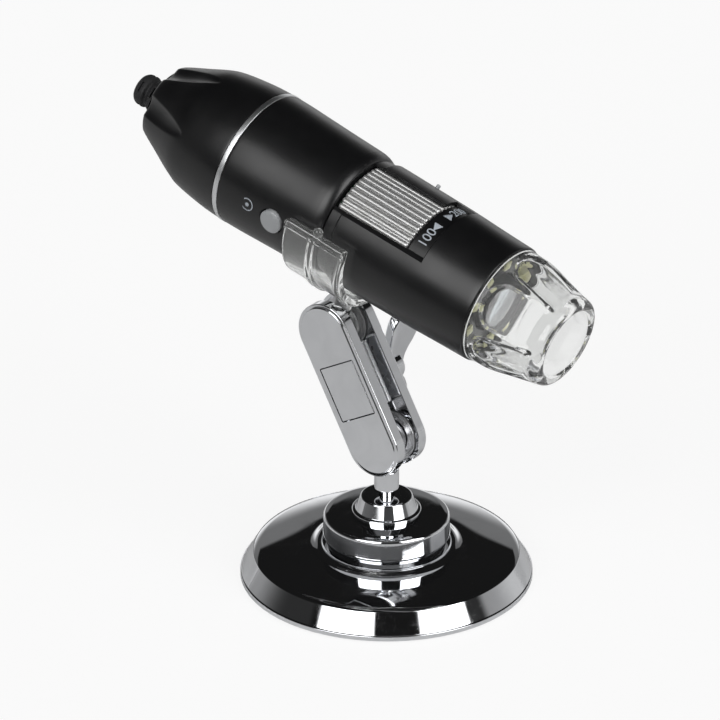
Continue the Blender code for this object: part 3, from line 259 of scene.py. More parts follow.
inside = maths(room, "MINIMUM", rays["Transmission Depth"], 1.0)
straight = maths(room, "MAXIMUM", straight, times(room, inside, WHITE_INSIDE))
seen = node(room, "Mix", {0: straight, 2: brightness, 3: 1.0}, data_type="FLOAT")
light = node(room, "Background", {"Color": (1, 1, 1, 1), "Strength": seen.outputs[0]})
node(room, "OutputWorld", {"Surface": light.outputs[0]})
print("room with", len(SOFT_BOXES), "soft boxes")

# %% [markdown]
# The object stands on white card. It is a plain diffuse sheet, so chrome shows it as pale grey. A
# little way in front of the object its colour is painted dark, a painted shade that stands in for
# the dark room past a table's edge, and only reflections show that. The camera sees a share of pure
# white, which keeps a soft shadow.

# %% Card floor
CARD_SIZE = 6.0
CARD_DROP = 0.0002
# Painted shade: how far in front of the object the card's colour darkens, and how dark it gets there.
CARD_SHADE_RAMP = (0.10, 0.20)
CARD_PAINTED_SHADE = 0.10
CARD_WHITE = 0.97
CARD_GLOW = 0.88
card_mesh = bpy.data.meshes.new("card")
corners = [(x * CARD_SIZE / 2, y * CARD_SIZE / 2, 0) for x, y in ((-1, -1), (1, -1), (1, 1), (-1, 1))]
card_mesh.from_pydata(corners, [], [(0, 1, 2, 3)])
card = new_object("card", card_mesh)
paper = bpy.data.materials.new("white_card")
paper.use_nodes = True
tree = paper.node_tree
tree.nodes.clear()
fibre = node(tree, "TexNoise", {"Scale": 60.0, "Detail": 6.0})
tone = ramp(tree, fibre.outputs["Fac"], 0.2, 0.8, 0.76, 0.80)
spot_on_card = node(tree, "TexCoord").outputs["Object"]
to_camera = distance_along(tree, spot_on_card, (math.sin(CAMERA_TURN), -math.cos(CAMERA_TURN), 0))
# Painted shade: towards the camera the card's colour fades to a tenth, for the dark room past a table's
# edge.
tone = times(tree, tone, ramp(tree, to_camera, *CARD_SHADE_RAMP, 1.0, CARD_PAINTED_SHADE))
straight, rays = straight_rays(tree)
shade = node(tree, "Mix", {0: straight, 2: tone, 3: CARD_WHITE}, data_type="FLOAT")
sheet = node(tree, "BsdfDiffuse", {"Color": shade.outputs[0]})
glow = node(tree, "Emission", {"Color": (1, 1, 1, 1), "Strength": 1.0})
share = times(tree, straight, CARD_GLOW)
mixed = node(tree, "MixShader", {0: share, 1: sheet.outputs[0], 2: glow.outputs[0]})
node(tree, "OutputMaterial", {"Surface": mixed.outputs[0]})
card_mesh.materials.append(paper)
card.location.z = -CARD_DROP
print("card", CARD_SIZE, "m")

# %% [markdown]
# Real surfaces are never even. Moulded plastic has a fine grain, polished plating carries faint
# wipe marks, turned metal keeps the lines of the cutter, and every outer edge is rubbed a little.
# Each of these is one shader group, so all the finishes share it at their own scale.

# %% Grain group
grain, place, scale, ends = new_group("moulded_grain", "Scale", 5000.0, "Height", "Mottle")
fine = noise(grain, place, scale, 3.0)
inputs = {"Vector": place, "Scale": scale, "Smoothness": 0.8}
pits = node(grain, "TexVoronoi", inputs, feature="SMOOTH_F1").outputs["Distance"]
grain.links.new(maths(grain, "ADD", fine, times(grain, pits, 0.6)), ends[0])
clouds = noise(grain, place, times(grain, scale, 0.03), 5.0)
grain.links.new(ramp(grain, clouds, 0.3, 0.7), ends[1])
print(grain.name, len(grain.nodes), "nodes")

# %% Wipe mark group
wipes, place, scale, ends = new_group("wipe_marks", "Scale", 120.0, "Haze", "Scratch")
bent = noise(wipes, place, scale, 6.0, Distortion=1.2)
wipes.links.new(ramp(wipes, bent, 0.38, 0.72), ends[0])
stretched = node(wipes, "Mapping", {"Vector": place, "Scale": (1.0, 0.06, 0.3)})
hair = noise(wipes, stretched.outputs[0], times(wipes, scale, 40.0), 2.0)
wipes.links.new(ramp(wipes, hair, 0.62, 0.74), ends[1])
print(wipes.name, len(wipes.nodes), "nodes")

# %% Turned line group
turning, place, scale, ends = new_group("turned_lines", "Scale", 4000.0, "Height")
flat = node(turning, "VectorMath", {0: place, 1: (1, 1, 0)}, operation="MULTIPLY")
away = node(turning, "VectorMath", {0: flat.outputs[0]}, operation="LENGTH").outputs["Value"]
along = node(turning, "SeparateXYZ", {0: place}).outputs["Z"]
inputs = {"W": maths(turning, "ADD", away, along), "Scale": scale, "Detail": 2.0}
lines = node(turning, "TexNoise", inputs, noise_dimensions="1D").outputs["Fac"]
turning.links.new(lines, ends[0])
print(turning.name, len(turning.nodes), "nodes")

# %% Rubbed edge and dust groups
rubbed, place, start, ends = new_group("rubbed_edges", "Start", 0.54, "Mask")
sharpness = node(rubbed, "NewGeometry").outputs["Pointiness"]
ridge = ramp(rubbed, sharpness, start, maths(rubbed, "ADD", start, 0.06))
patchy = noise(rubbed, place, 900.0, 4.0)
rubbed.links.new(times(rubbed, ridge, ramp(rubbed, patchy, 0.4, 0.65)), ends[0])

dust, place, amount, ends = new_group("settled_dust", "Amount", 0.1, "Mask")
normal = node(dust, "NewGeometry").outputs["Normal"]
facing = node(dust, "SeparateXYZ", {0: normal}).outputs["Z"]
specks = node(dust, "TexVoronoi", {"Vector": place, "Scale": 1400.0})
speck = ramp(dust, specks.outputs["Distance"], 0.05, 0.22, 1.0, 0.0)
film = noise(dust, place, 260.0, 6.0)
where = times(dust, ramp(dust, facing, 0.35, 0.95), ramp(dust, film, 0.42, 0.7))
mask = times(dust, where, maths(dust, "ADD", times(dust, speck, 0.7), 0.3))
dust.links.new(times(dust, mask, amount, True), ends[0])
print(rubbed.name, "and", dust.name)

# %% [markdown]
# A finish is one Principled shader with some groups in front of it. The first helper makes the
# shader with its plain values, small ones mix colours and turn heights into bumps, and the last
# makes the commonest kind of finish, in which polish, and mostly colour too, is uneven.


# %% Helpers for finishes
def new_finish(name, colour, roughness, metallic=0.0, **plain):
    """A material with one Principled shader. It gives back the material, its tree and the shader."""
    material = bpy.data.materials.new(name)
    material.use_nodes = True
    material.diffuse_color = (*colour, 1)
    tree = material.node_tree
    tree.nodes.clear()
    inputs = {"Base Color": (*colour, 1), "Roughness": roughness, "Metallic": metallic}
    inputs.update({label.replace("_", " "): value for label, value in plain.items()})
    shader = node(tree, "BsdfPrincipled", inputs)
    node(tree, "OutputMaterial", {"Surface": shader.outputs[0]})
    return material, tree, shader


def group_in(tree, group, scale, label="Scale"):
    """Places a shader group, fed with the piece's own coordinates."""
    place = node(tree, "TexCoord").outputs["Object"]
    return node(tree, "Group", {"Place": place, label: scale}, node_tree=group).outputs


def two_tones(tree, mask, first, second):
    inputs = {0: mask}
    for slot, colour in ((6, first), (7, second)):
        inputs[slot] = colour if isinstance(colour, bpy.types.NodeSocket) else (*colour, 1)
    return node(tree, "Mix", inputs, data_type="RGBA").outputs[2]


def raise_by(tree, shader, height, distance):
    """Bumps a surface by a height of 0 to 1 that stands for this many metres."""
    bump = node(tree, "Bump", {"Height": height, "Distance": distance, "Strength": 1.0})
    tree.links.new(bump.outputs[0], shader.inputs["Normal"])


def feed(tree, shader, label, socket):
    tree.links.new(socket, shader.inputs[label])


def uneven(name, colour, other, rough, group, scale, metallic=0.0, bump=0.0, flow=0.0, **plain):
    """A finish that wanders between two colours and two roughnesses with a group's soft mask."""
    material, tree, shader = new_finish(name, colour, sum(rough) / 2, metallic, **plain)
    place = group_in(tree, group, scale)
    mask = place["Haze" if group is wipes else "Mottle"]
    if other:
        feed(tree, shader, "Base Color", two_tones(tree, mask, colour, other))
    feed(tree, shader, "Roughness", ramp(tree, mask, 0.0, 1.0, *rough))
    if bump:
        raise_by(tree, shader, place["Height"], bump)
    if flow:
        raise_by(tree, shader, group_in(tree, grain, FLOW_MARK_SCALE)["Mottle"], flow)
    return material


# %% [markdown]
# The stand is die cast metal with bright plating. Plating on a casting is a mirror with a little
# orange peel, hazed where cloths and fingers have been. Haze goes into roughness and slightly into
# colour, and the peel is a very low bump, because a mirror shows the smallest dent. The spring bars
# inside the arm are plated too but never polished, so they stay dull.

# %% Bright plating
PLATING = (0.80, 0.81, 0.83)
plating, tree, shader = new_finish("bright_plating", PLATING, 0.04, 1.0)
marks = group_in(tree, wipes, 110.0)
feed(tree, shader, "Base Color", two_tones(tree, marks["Haze"], PLATING, (0.75, 0.76, 0.78)))
haze = ramp(tree, marks["Haze"], 0.0, 1.0, 0.025, 0.075)
feed(tree, shader, "Roughness", maths(tree, "ADD", haze, times(tree, marks["Scratch"], 0.07)))
raise_by(tree, shader, group_in(tree, grain, 260.0)["Mottle"], 0.0000012)
print(plating.name)

dull_plating, tree, shader = new_finish("dull_plating", PLATING, 0.34, 0.55)
marks = group_in(tree, wipes, 240.0)
feed(tree, shader, "Roughness", ramp(tree, marks["Haze"], 0.0, 1.0, 0.26, 0.36))
feed(tree, shader, "Base Color", two_tones(tree, marks["Haze"], (0.84, 0.85, 0.87), (0.76, 0.77, 0.79)))
print(dull_plating.name)

# %% Turned steel of the cups, bolt and weight
STEEL = (0.64, 0.64, 0.65)
steel, tree, shader = new_finish("turned_steel", STEEL, 0.28, 0.78)
cutter = group_in(tree, turning, 5200.0)["Height"]
feed(tree, shader, "Roughness", ramp(tree, cutter, 0.25, 0.75, 0.23, 0.36))
worn = group_in(tree, rubbed, 0.53, "Start")["Mask"]
feed(tree, shader, "Base Color", two_tones(tree, worn, STEEL, (0.76, 0.76, 0.77)))
raise_by(tree, shader, cutter, 0.000008)
print(steel.name)

# %% [markdown]
# The tube's shells are black plastic with a satin spark finish: the mould itself is etched, so
# the skin breaks the light into a broad soft band. A little dust settles on top, and the edges
# that hands touch are polished to a thin paler line.

# %% Satin black shell
BLACK = (0.0055, 0.0055, 0.006)
satin_black, tree, shader = new_finish("satin_black_shell", BLACK, 0.30)
skin = group_in(tree, grain, 5600.0)
feed(tree, shader, "Roughness", ramp(tree, skin["Mottle"], 0.0, 1.0, 0.29, 0.325))
worn = group_in(tree, rubbed, 0.55, "Start")["Mask"]
shade = two_tones(tree, worn, BLACK, (0.022, 0.022, 0.023))
dusty = group_in(tree, dust, 0.012, "Amount")["Mask"]
feed(tree, shader, "Base Color", two_tones(tree, dusty, shade, (0.3, 0.3, 0.3)))
raise_by(tree, shader, skin["Height"], 0.000007)
print(satin_black.name)

# %% Matt rubber of the gland, the pad and the sleeve
RUBBER, RUBBED_RUBBER = (0.010, 0.010, 0.011), (0.016, 0.016, 0.017)
rubber = uneven("matt_rubber", RUBBER, RUBBED_RUBBER, (0.55, 0.72), grain, 3800.0, bump=0.00001)
print(rubber.name)

# %% [markdown]
# The ring is satin silver with the cutter's lines. The wheel's ribs are tumbled after they are cut,
# which leaves them bright but milky, so its shader keeps a share of plain grey under the metal.

# %% Silver trim and the bright wheel
SILVER = (0.80, 0.81, 0.82)
silver, tree, shader = new_finish("satin_silver", SILVER, 0.34, 1.0)
brushed = group_in(tree, turning, 6500.0)["Height"]
feed(tree, shader, "Roughness", ramp(tree, brushed, 0.25, 0.75, 0.30, 0.40))
feed(tree, shader, "Base Color", two_tones(tree, brushed, (0.76, 0.77, 0.78), (0.85, 0.86, 0.87)))
raise_by(tree, shader, brushed, 0.0000012)

WHEEL, HAZED_WHEEL = (0.60, 0.60, 0.60), (0.54, 0.54, 0.53)
wheel_metal = uneven("bright_wheel_metal", WHEEL, HAZED_WHEEL, (0.37, 0.45), wipes, 300.0, 0.80)
print(silver.name, "and", wheel_metal.name)

# %% [markdown]
# The nose and the clip are clear acrylic. Acrylic bends light almost as window glass does, and a
# moulded piece has faint flow marks and fine scratches. The shader is glass with a few hundredths
# of pale haze in place of full transmission. The clip, handled more, has a cloudier finish.

# %% Clear acrylic
ACRYLIC_BENDING = 1.49
FLOW_MARK_SCALE = 420.0
CLEAR = (0.885, 0.89, 0.885)
clear = uneven(
    "clear_acrylic", CLEAR, None, (0.008, 0.05), wipes, 170.0,
    flow=0.000005, Transmission_Weight=0.968, IOR=ACRYLIC_BENDING,
)
MILKY, MILKIER = (0.88, 0.89, 0.88), (0.93, 0.94, 0.93)
milky = uneven(
    "clouded_acrylic", MILKY, MILKIER, (0.03, 0.12), wipes, 140.0,
    flow=0.000004, Transmission_Weight=0.955, IOR=ACRYLIC_BENDING,
)
print(clear.name, "and", milky.name)

# %% Lens glass with its coating
COATING = (0.62, 0.68, 0.72)
lens_glass = uneven(
    "coated_lens", COATING, None, (0.004, 0.03), wipes, 500.0,
    Transmission_Weight=1.0, IOR=1.62, Coat_Weight=0.6,
)
print(lens_glass.name)

# %% Grey plastic of the button and the print's ink
GREY, DULL_GREY = (0.36, 0.37, 0.38), (0.33, 0.34, 0.35)
grey_plastic = uneven(
    "pale_grey_plastic", GREY, DULL_GREY, (0.18, 0.30), grain, 3000.0, bump=0.000003, Coat_Weight=0.25
)
INK, THIN_INK = (0.46, 0.50, 0.55), (0.36, 0.39, 0.43)
ink = uneven("pale_print_ink", INK, THIN_INK, (0.42, 0.6), grain, 7000.0)
print(grey_plastic.name, "and", ink.name)

# %% [markdown]
# Inside are circuit boards, chips and lights. They show only through the clear nose and when the
# model is taken apart, but they get real finishes too: green lacquer over copper tracks, black
# lacquer, and the pale phosphor cap of a white light.


# %% Boards, chips and lights
def lacquer(name, dark, light, copper_scale):
    """Circuit board lacquer: tracks show through it as a paler pattern that stands a little proud."""
    board, tree, shader = new_finish(name, dark, 0.3, Coat_Weight=0.4)
    place = node(tree, "TexCoord").outputs["Object"]
    inputs = {"Vector": place, "Scale": copper_scale}
    cells = node(tree, "TexVoronoi", inputs, feature="DISTANCE_TO_EDGE", distance="EUCLIDEAN")
    tracks = ramp(tree, cells.outputs["Distance"], 0.05, 0.09, 1.0, 0.0)
    feed(tree, shader, "Base Color", two_tones(tree, tracks, dark, light))
    skin = group_in(tree, grain, 3000.0)
    feed(tree, shader, "Roughness", ramp(tree, skin["Mottle"], 0.0, 1.0, 0.22, 0.38))
    raise_by(tree, shader, tracks, 0.00003)
    return board


green_board = lacquer("green_board_lacquer", (0.012, 0.10, 0.040), (0.035, 0.20, 0.075), 420.0)
black_board = lacquer("black_board_lacquer", (0.016, 0.016, 0.018), (0.050, 0.050, 0.052), 520.0)
PHOSPHOR = (0.93, 0.91, 0.50)
phosphor, tree, shader = new_finish("yellow_phosphor", PHOSPHOR, 0.35, Coat_Weight=0.5)
skin = group_in(tree, grain, 6000.0)
feed(tree, shader, "Base Color", two_tones(tree, skin["Mottle"], PHOSPHOR, (0.96, 0.95, 0.64)))
raise_by(tree, shader, skin["Height"], 0.00001)
print(green_board.name, black_board.name, phosphor.name)

# %% [markdown]
# Most of this object is turned or moulded round an axis, so a lathe in code makes most pieces:
# a closed outline of distances along the axis and radii is swept round it. Crisp corners would look
# like paper, so outlines are drawn with rounded corners, and flowing ones through smooth curves.


# %% Outline helpers
def rounded(points, steps=4):
    """Rounds the corners of a closed outline. A point is (x, y) or (x, y, reach of its round)."""
    outline = []
    for index, point in enumerate(points):
        corner = Vector(point[:2])
        before = Vector(points[index - 1][:2]) - corner
        after = Vector(points[(index + 1) % len(points)][:2]) - corner
        reach = point[2] if len(point) > 2 else 0.0
        if not reach:
            outline.append(tuple(corner))
            continue
        start = corner + before.normalized() * min(reach, before.length * 0.49)
        end = corner + after.normalized() * min(reach, after.length * 0.49)
        for step in range(steps + 1):
            share = step / steps
            outline.append(
                tuple(start * (1 - share) ** 2 + corner * (2 * share * (1 - share)) + end * share**2)
            )
    return outline


def flowing(points, steps=5):
    """A smooth curve through the points, which keeps both ends."""
    curve = []
    ends = [points[0], *points, points[-1]]
    for before, start, end, after in zip(ends, ends[1:], ends[2:], ends[3:]):
        a, b, c, d = (Vector(point) for point in (before, start, end, after))
        for step in range(steps):
            t = step / steps
            flow = 2 * b + (c - a) * t + (2 * a - 5 * b + 4 * c - d) * t**2 + (3 * b - a - 3 * c + d) * t**3
            curve.append(tuple(flow / 2))
    curve.append(tuple(points[-1]))
    return curve


def arc(centre, radius, first, last, steps):
    """Points of a circle round a point on the axis. Angles in degrees run from the axis' forward way."""
    points = []
    for step in range(steps + 1):
        angle = math.radians(first + (last - first) * step / steps)
        points.append((centre + radius * math.cos(angle), max(radius * math.sin(angle), 0.0)))
    return points


# %% [markdown]
# The lathe works in millimetres round the local Z axis. A relief can pull the radius in as the
# angle changes, which is how flutes and ribs are made. It can also stop part of the way round, which
# is how the clip and the cutters for windows are made.


# %% The lathe and other makers
def as_mesh(shell):
    bmesh.ops.recalc_face_normals(shell, faces=shell.faces)
    mesh = bpy.data.meshes.new("shape")
    shell.to_mesh(mesh)
    shell.free()
    return mesh


def turned(outline, steps=160, relief=None, first=0.0, last=None):
    """Sweeps a closed outline of (along, radius) in mm round local Z, from first to last degrees."""
    whole = last is None
    sweep = math.tau if whole else math.radians(last - first)
    shell = bmesh.new()
    count = len(outline)
    poles = {}
    for index, (along, radius) in enumerate(outline):
        if radius < 1e-6:
            poles[index] = shell.verts.new((0, 0, along * MM))
    rings = []
    for step in range(steps if whole else steps + 1):
        angle = math.radians(first) + sweep * step / steps
        ring = []
        for index, (along, radius) in enumerate(outline):
            if index in poles:
                ring.append(poles[index])
                continue
            out = relief(along, radius, angle) if relief else radius
            ring.append(shell.verts.new(Vector((out * math.cos(angle), out * math.sin(angle), along)) * MM))
        rings.append(ring)
    for here, there in zip(rings, rings[1:] + rings[:1] if whole else rings[1:]):
        for j in range(count):
            k = (j + 1) % count
            corners = list(dict.fromkeys((here[j], here[k], there[k], there[j])))
            if len(corners) > 2:
                shell.faces.new(corners)
    if not whole:
        shell.faces.new(rings[0])
        shell.faces.new(rings[-1])
    return as_mesh(shell)


def layered(layers):
    """Joins rings of points in mm into one solid with a flat face at each end."""
    shell = bmesh.new()
    rings = [[shell.verts.new(Vector(point) * MM) for point in layer] for layer in layers]
    for lower, upper in zip(rings, rings[1:]):
        for j in range(len(lower)):
            k = (j + 1) % len(lower)
            shell.faces.new((lower[j], lower[k], upper[k], upper[j]))
    shell.faces.new(rings[0])
    shell.faces.new(rings[-1])
    return as_mesh(shell)


def block(low, high, edge=0.0, steps=3):
    """A bar between two corners in mm, with its edges rounded."""
    shell = bmesh.new()
    bmesh.ops.create_cube(shell, size=1.0)
    low, high = Vector(low) * MM, Vector(high) * MM
    bmesh.ops.scale(shell, vec=high - low, verts=shell.verts)
    bmesh.ops.translate(shell, vec=(low + high) / 2, verts=shell.verts)
    if edge:
        bmesh.ops.bevel(
            shell, geom=shell.edges[:], offset=edge * MM, segments=steps, profile=0.6, affect="EDGES",
            clamp_overlap=True,
        )
    return as_mesh(shell)


def moved(mesh, place):
    mesh.transform(place)
    return mesh


def spun(degrees):
    return Matrix.Rotation(math.radians(degrees), 4, "Z")


def mesh_of(holder):
    """The mesh that an object's modifiers or letters make. The object itself is removed."""
    scene_now = bpy.context.evaluated_depsgraph_get()
    mesh = bpy.data.meshes.new_from_object(holder.evaluated_get(scene_now))
    bpy.data.objects.remove(holder)
    return mesh


def combined(operation, mesh, *others):
    """Joins other closed meshes to a mesh, or cuts them out of it."""
    for other in others:
        holder, tool = new_object("holder", mesh), new_object("tool", other)
        modifier = holder.modifiers.new("combine", "BOOLEAN")
        modifier.solver = "MANIFOLD"
        modifier.operation = operation
        modifier.object = tool
        mesh = mesh_of(holder)
        bpy.data.objects.remove(tool)
    return mesh


# %% [markdown]
# Every piece goes in through one door. It is shaded smooth with its real edges kept sharp, its
# large flat faces are kept flat by weighting the normals, it rides on the body that carries it, and
# it says which modelled pieces it stands for and which finish it takes.


# %% Fitting a piece
def fit(name, mesh, place, body, slot, finish, *nodes, sharp=34, weigh=True, own_axes=False):
    """Places a mesh on a body. With own_axes, lines of the cutter follow the piece's own axis."""
    shell = bmesh.new()
    shell.from_mesh(mesh)
    open_edges = sum(1 for edge in shell.edges if not edge.is_manifold)
    shell.free()
    mesh.name = name
    mesh.materials.clear()
    mesh.materials.append(finish)
    mesh.polygons.foreach_set("use_smooth", [True] * len(mesh.polygons))
    mesh.set_sharp_from_angle(angle=math.radians(sharp))
    if not own_axes:
        mesh.transform(place)
        place = Matrix.Identity(4)
    piece = new_object(name, mesh)
    piece.matrix_world = place
    if weigh:
        modifier = piece.modifiers.new("flat_faces", "WEIGHTED_NORMAL")
        modifier.keep_sharp = True
        modifier.weight = 60
    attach(piece, body)
    if nodes:
        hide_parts(*nodes)
    print("%-18s on %-12s %6d faces, %d open edges" % (name, body, len(mesh.polygons), open_edges))
    return piece


def dress(finish, *nodes):
    """Gives modelled pieces that stay as they are a real finish."""
    for name in nodes:
        for holder in frame["nodes"][name].material_slots:
            holder.material = finish
        print("%-18s keeps its shape, in %s" % (name, finish.name))


# %% [markdown]
# The stand's foot is a low plated dome with a steep bevel and a thin lip, hollow underneath, with
# a steel weight inside and a grooved rubber pad below. It could be carved from a cylinder, but the
# bevel's exact slope decides where the soft boxes show in it, so it is drawn as an outline.


# %% Foot of the stand
DOME_TOP, DOME_FALL = 8.0, 1.7
SEAT_RADIUS, BEVEL_RADIUS = 17.2, 30.2


def dome_height(radius):
    share = (radius - SEAT_RADIUS) / (BEVEL_RADIUS - SEAT_RADIUS)
    return DOME_TOP - DOME_FALL * share * share


outer = [(0.45, 32.3), (0.42, 33.28, 0.12), (1.5, 33.28, 0.14), (1.62, 32.98, 0.12), (6.2, 30.25, 0.2)]
dome = [(dome_height(radius), radius) for radius in (29.6 - 12.4 * step / 14 for step in range(15))]
inner = [(8.0, 2.0), (6.9, 2.0), (6.9, 17.0), (6.2, 25.0), (5.1, 29.2), (1.3, 32.1)]
foot = rounded(outer) + dome + inner
fit("plated_foot", turned(foot, 224), STAND, "base", "chrome", plating, "base_shell")

grooves = [(1.0, 0.0), (1.0, 31.85), (0.2, 31.85), (0.0, 31.65)]
for step in range(12):
    ring = 30.6 - 2.4 * step
    grooves += [(0.0, ring), (0.35, ring - 0.3), (0.35, ring - 0.9), (0.0, ring - 1.2)]
grooves.append((0.0, 0.0))
fit("grip_pad", turned(grooves, 128), STAND, "base", "black_rubber", rubber, "base_pad")
dress(steel, "base_weight", "base_screw")

# %% [markdown]
# A drum stands on the dome in a small rounded seat. Its side is nearly straight and draws in below.
# On it are a flanged cone and a slim post that ends in a ball, all plated like the foot.

# %% Drum, collar and ball post
BALL_RADIUS = 4.48
seat = flowing([(8.02, 17.25), (8.1, 16.95), (8.3, 16.5), (8.55, 16.05), (8.7, 15.7), (8.75, 15.4)], 4)
seat += [(8.76, 15.2), (8.76, 14.7), (8.7, 14.6), (8.02, 14.6)]
fit("drum_seat", turned(seat, 192), STAND, "base", "chrome", plating, "seat_ring")

side = [(8.2, 13.47), (9.5, 13.98), (10.6, 14.42)]
side += flowing(
    [(10.72, 14.46), (10.84, 14.48), (11.4, 14.448), (12.4, 14.408), (13.6, 14.388), (14.8, 14.385)], 5
)
brow = flowing([(14.98, 14.35), (15.25, 14.22), (15.48, 13.95), (15.58, 13.6), (15.66, 13.2)], 5)
lid = flowing([(15.70, 12.9), (15.77, 11.6), (15.82, 10.0), (15.85, 8.5)], 4)
drum = [(8.05, 1.75), (8.05, 13.4)] + side + brow + lid + [(15.85, 1.75)]
fit("drum", turned(drum, 192), STAND, "base", "chrome", plating, "boss_drum")

collar = [
    (15.88, 1.75), (15.88, 7.88), (16.88, 7.88, 0.3),
    (16.92, 7.05, 0.12), (20.15, 5.85, 0.35), (20.15, 1.75),
]
fit("cone_foot", turned(rounded(collar), 128), STAND, "base", "chrome", plating, "cone_collar")

neck = [
    (20.18, 0.0), (20.18, 1.6), (21.75, 1.6), (21.85, 2.83, 0.3),
    (26.75, 2.83, 0.35), (26.9, 1.85), (29.9, 1.8),
]
post = rounded(neck) + arc(34.2, BALL_RADIUS, 156.4, 0.0, 28)
fit("ball_pin", turned(post, 96), STAND, "base", "chrome", plating, "ball_post")

# %% [markdown]
# The two balls are gripped between steel cups, one pair at each end of the arm. A cup is a thick
# washer whose inner face is hollowed to the ball, so its outline holds an arc of the ball's room.


# %% Cups round the balls
def cup_outline():
    hollow = arc(0.0, 4.75, 17.4, 61.0, 10)
    rim = [(2.33, 5.95, 0.15), (4.78, 5.95, 0.35), (4.78, 1.5, 0.2)]
    return rounded(rim) + hollow


for place, body, prefix in ((SWIVEL, "swivel", "lower"), (HEAD, "head", "upper")):
    for way, word in ((-1, "near"), (1, "far")):
        facing = placed(place.translation, Vector((1, 0, 0)), SIDEWAYS * way)
        shape = turned(cup_outline(), 96)
        name, stands_for = "%s_%s_washer" % (prefix, word), "%s_cup_%s" % (prefix, word)
        fit(name, shape, facing, body, "steel", steel, stands_for, own_axes=True)

# %% [markdown]
# The arm is two plated plates with round ends, bolted across the balls. Each plate is a stack of
# round-ended outlines, drawn in step by step to give its two crisp bevels, and then the rooms for
# the cups, the bolt and the little cover panel are cut out of it.


# %% Arm plates
PLATE_HALF_WIDTH = 7.08


def round_ended(inset, depth, steps=44):
    ring = []
    radius = PLATE_HALF_WIDTH - inset
    for centre, start in ((ARM_SPAN / MM, -90), (0.0, 90)):
        for step in range(steps + 1):
            angle = math.radians(start + 180 * step / steps)
            ring.append((radius * math.sin(angle), depth, centre + radius * math.cos(angle)))
    return ring


PLATE_EDGE = (
    (2.62, 0.12), (2.74, 0.0), (5.18, 0.0), (5.30, 0.02), (5.39, 0.07), (5.44, 0.14), (5.455, 0.22),
    (5.49, 0.76), (5.52, 0.80), (5.58, 0.85), (5.65, 0.90), (5.70, 0.96), (5.712, 1.03), (5.715, 1.12),
)


def post_cutter(radius, low, high, along):
    """A round cutter across the arm, between two depths."""
    shape = turned([(low, 0.0), (low, radius), (high, radius), (high, 0.0)], 72)
    return moved(shape, placed(Vector((0, 0, along)) * MM, Vector((1, 0, 0)), SIDEWAYS))


MIDDLE = ARM_SPAN / MM / 2
for way, node_name, name in ((-1, "front_plate", "near_arm_plate"), (1, "rear_plate", "far_arm_plate")):
    plate = layered([round_ended(inset, way * depth) for depth, inset in PLATE_EDGE])
    cutters = [post_cutter(6.3, *sorted((0.0, way * 5.1)), along) for along in (0.0, ARM_SPAN / MM)]
    cutters.append(post_cutter(1.8, *sorted((0.0, way * 9.0)), MIDDLE))
    if way < 0:
        cutters.append(post_cutter(2.9, -4.8, -2.9, MIDDLE))
        cutters.append(block((-5.25, -9.0, MIDDLE - 6.65), (5.25, -4.52, MIDDLE + 6.65), 0.5))
    plate = combined("DIFFERENCE", plate, *cutters)
    fit(name, plate, ARM, "arm", "chrome", plating, node_name)

# %% [markdown]
# A small rectangular panel is let into the near plate. Only the thin dark gap round it and its own
# fine bevel tell it from the plate, so both are really there. Between the plates, two spring bars
# press the cups on the balls, with a stop block below them, and the clamp bolt runs through all.

# %% Panel, spring bars and stop block
panel = block((-5.05, -5.715, MIDDLE - 6.45), (5.05, -4.68, MIDDLE + 6.45), 0.2, 4)
fit("cover_panel", panel, ARM, "arm", "chrome", plating, "plate_panel")
for way, word in ((-1, "near"), (1, "far")):
    low, high = sorted((way * 0.16, way * 1.14))
    bar = block((-5.2, low, 7.95), (5.2, high, ARM_SPAN / MM - 5.05), 0.3, 4)
    bar = combined("DIFFERENCE", bar, post_cutter(1.8, -4.0, 4.0, MIDDLE))
    fit("spring_bar_" + word, bar, ARM, "arm", "chrome", dull_plating, "spacer_bar_" + word)
stop = block((-3.0, -2.0, 5.02), (3.0, 2.0, 7.58), 0.45, 4)
fit("ball_stop", stop, ARM, "arm", "steel", steel, "stop_block")
dress(steel, "clamp_bolt")

# %% [markdown]
# The clamp is tightened by a wing knob behind the arm. Its two wings are one flat butterfly shape
# with rounded edges, joined to a turned hub. The blade's outline runs through a few points of a
# smooth curve, and its edge is rounded by drawing the outline in towards both faces.


# %% Wing knob
def drawn_in(outline, amount):
    """Moves a closed outline inwards by this much."""
    pairs = zip(outline, outline[1:] + outline[:1])
    way = 1 if sum(a[0] * b[1] - b[0] * a[1] for a, b in pairs) > 0 else -1
    result = []
    for index, here in enumerate(outline):
        before, after = outline[index - 1], outline[(index + 1) % len(outline)]
        edge = (Vector(after) - Vector(before)).normalized()
        result.append((here[0] - way * edge.y * amount, here[1] + way * edge.x * amount))
    return result


WING = (
    (1.5, 8.2), (4.6, 7.75), (8.0, 7.72), (11.4, 8.0), (13.4, 8.9), (14.3, 10.6), (14.48, 13.0),
    (14.1, 15.6), (12.9, 17.4), (10.6, 18.18), (8.2, 17.95), (5.6, 16.6), (3.6, 14.9), (1.8, 14.1),
)
wing = flowing([(-out, deep) for out, deep in WING[::-1]] + list(WING), 4)
layers = []
for across, inset in (
    (-1.3, 0.75), (-1.27, 0.5), (-1.15, 0.25), (-0.95, 0.08), (-0.7, 0.0),
    (0.7, 0.0), (0.95, 0.08), (1.15, 0.25), (1.27, 0.5), (1.3, 0.75),
):
    layers.append([(out, across, deep) for out, deep in drawn_in(wing, inset)])
blade = layered(layers)
hub = [
    (6.06, 0.0), (6.06, 3.45, 0.2), (6.9, 3.45, 0.1), (7.05, 3.2, 0.05), (7.3, 3.2, 0.05),
    (7.45, 3.45, 0.1), (11.6, 3.45, 0.3), (12.15, 2.9, 0.3), (12.15, 0.0),
]
knob = combined("UNION", turned(rounded(hub), 96), blade)
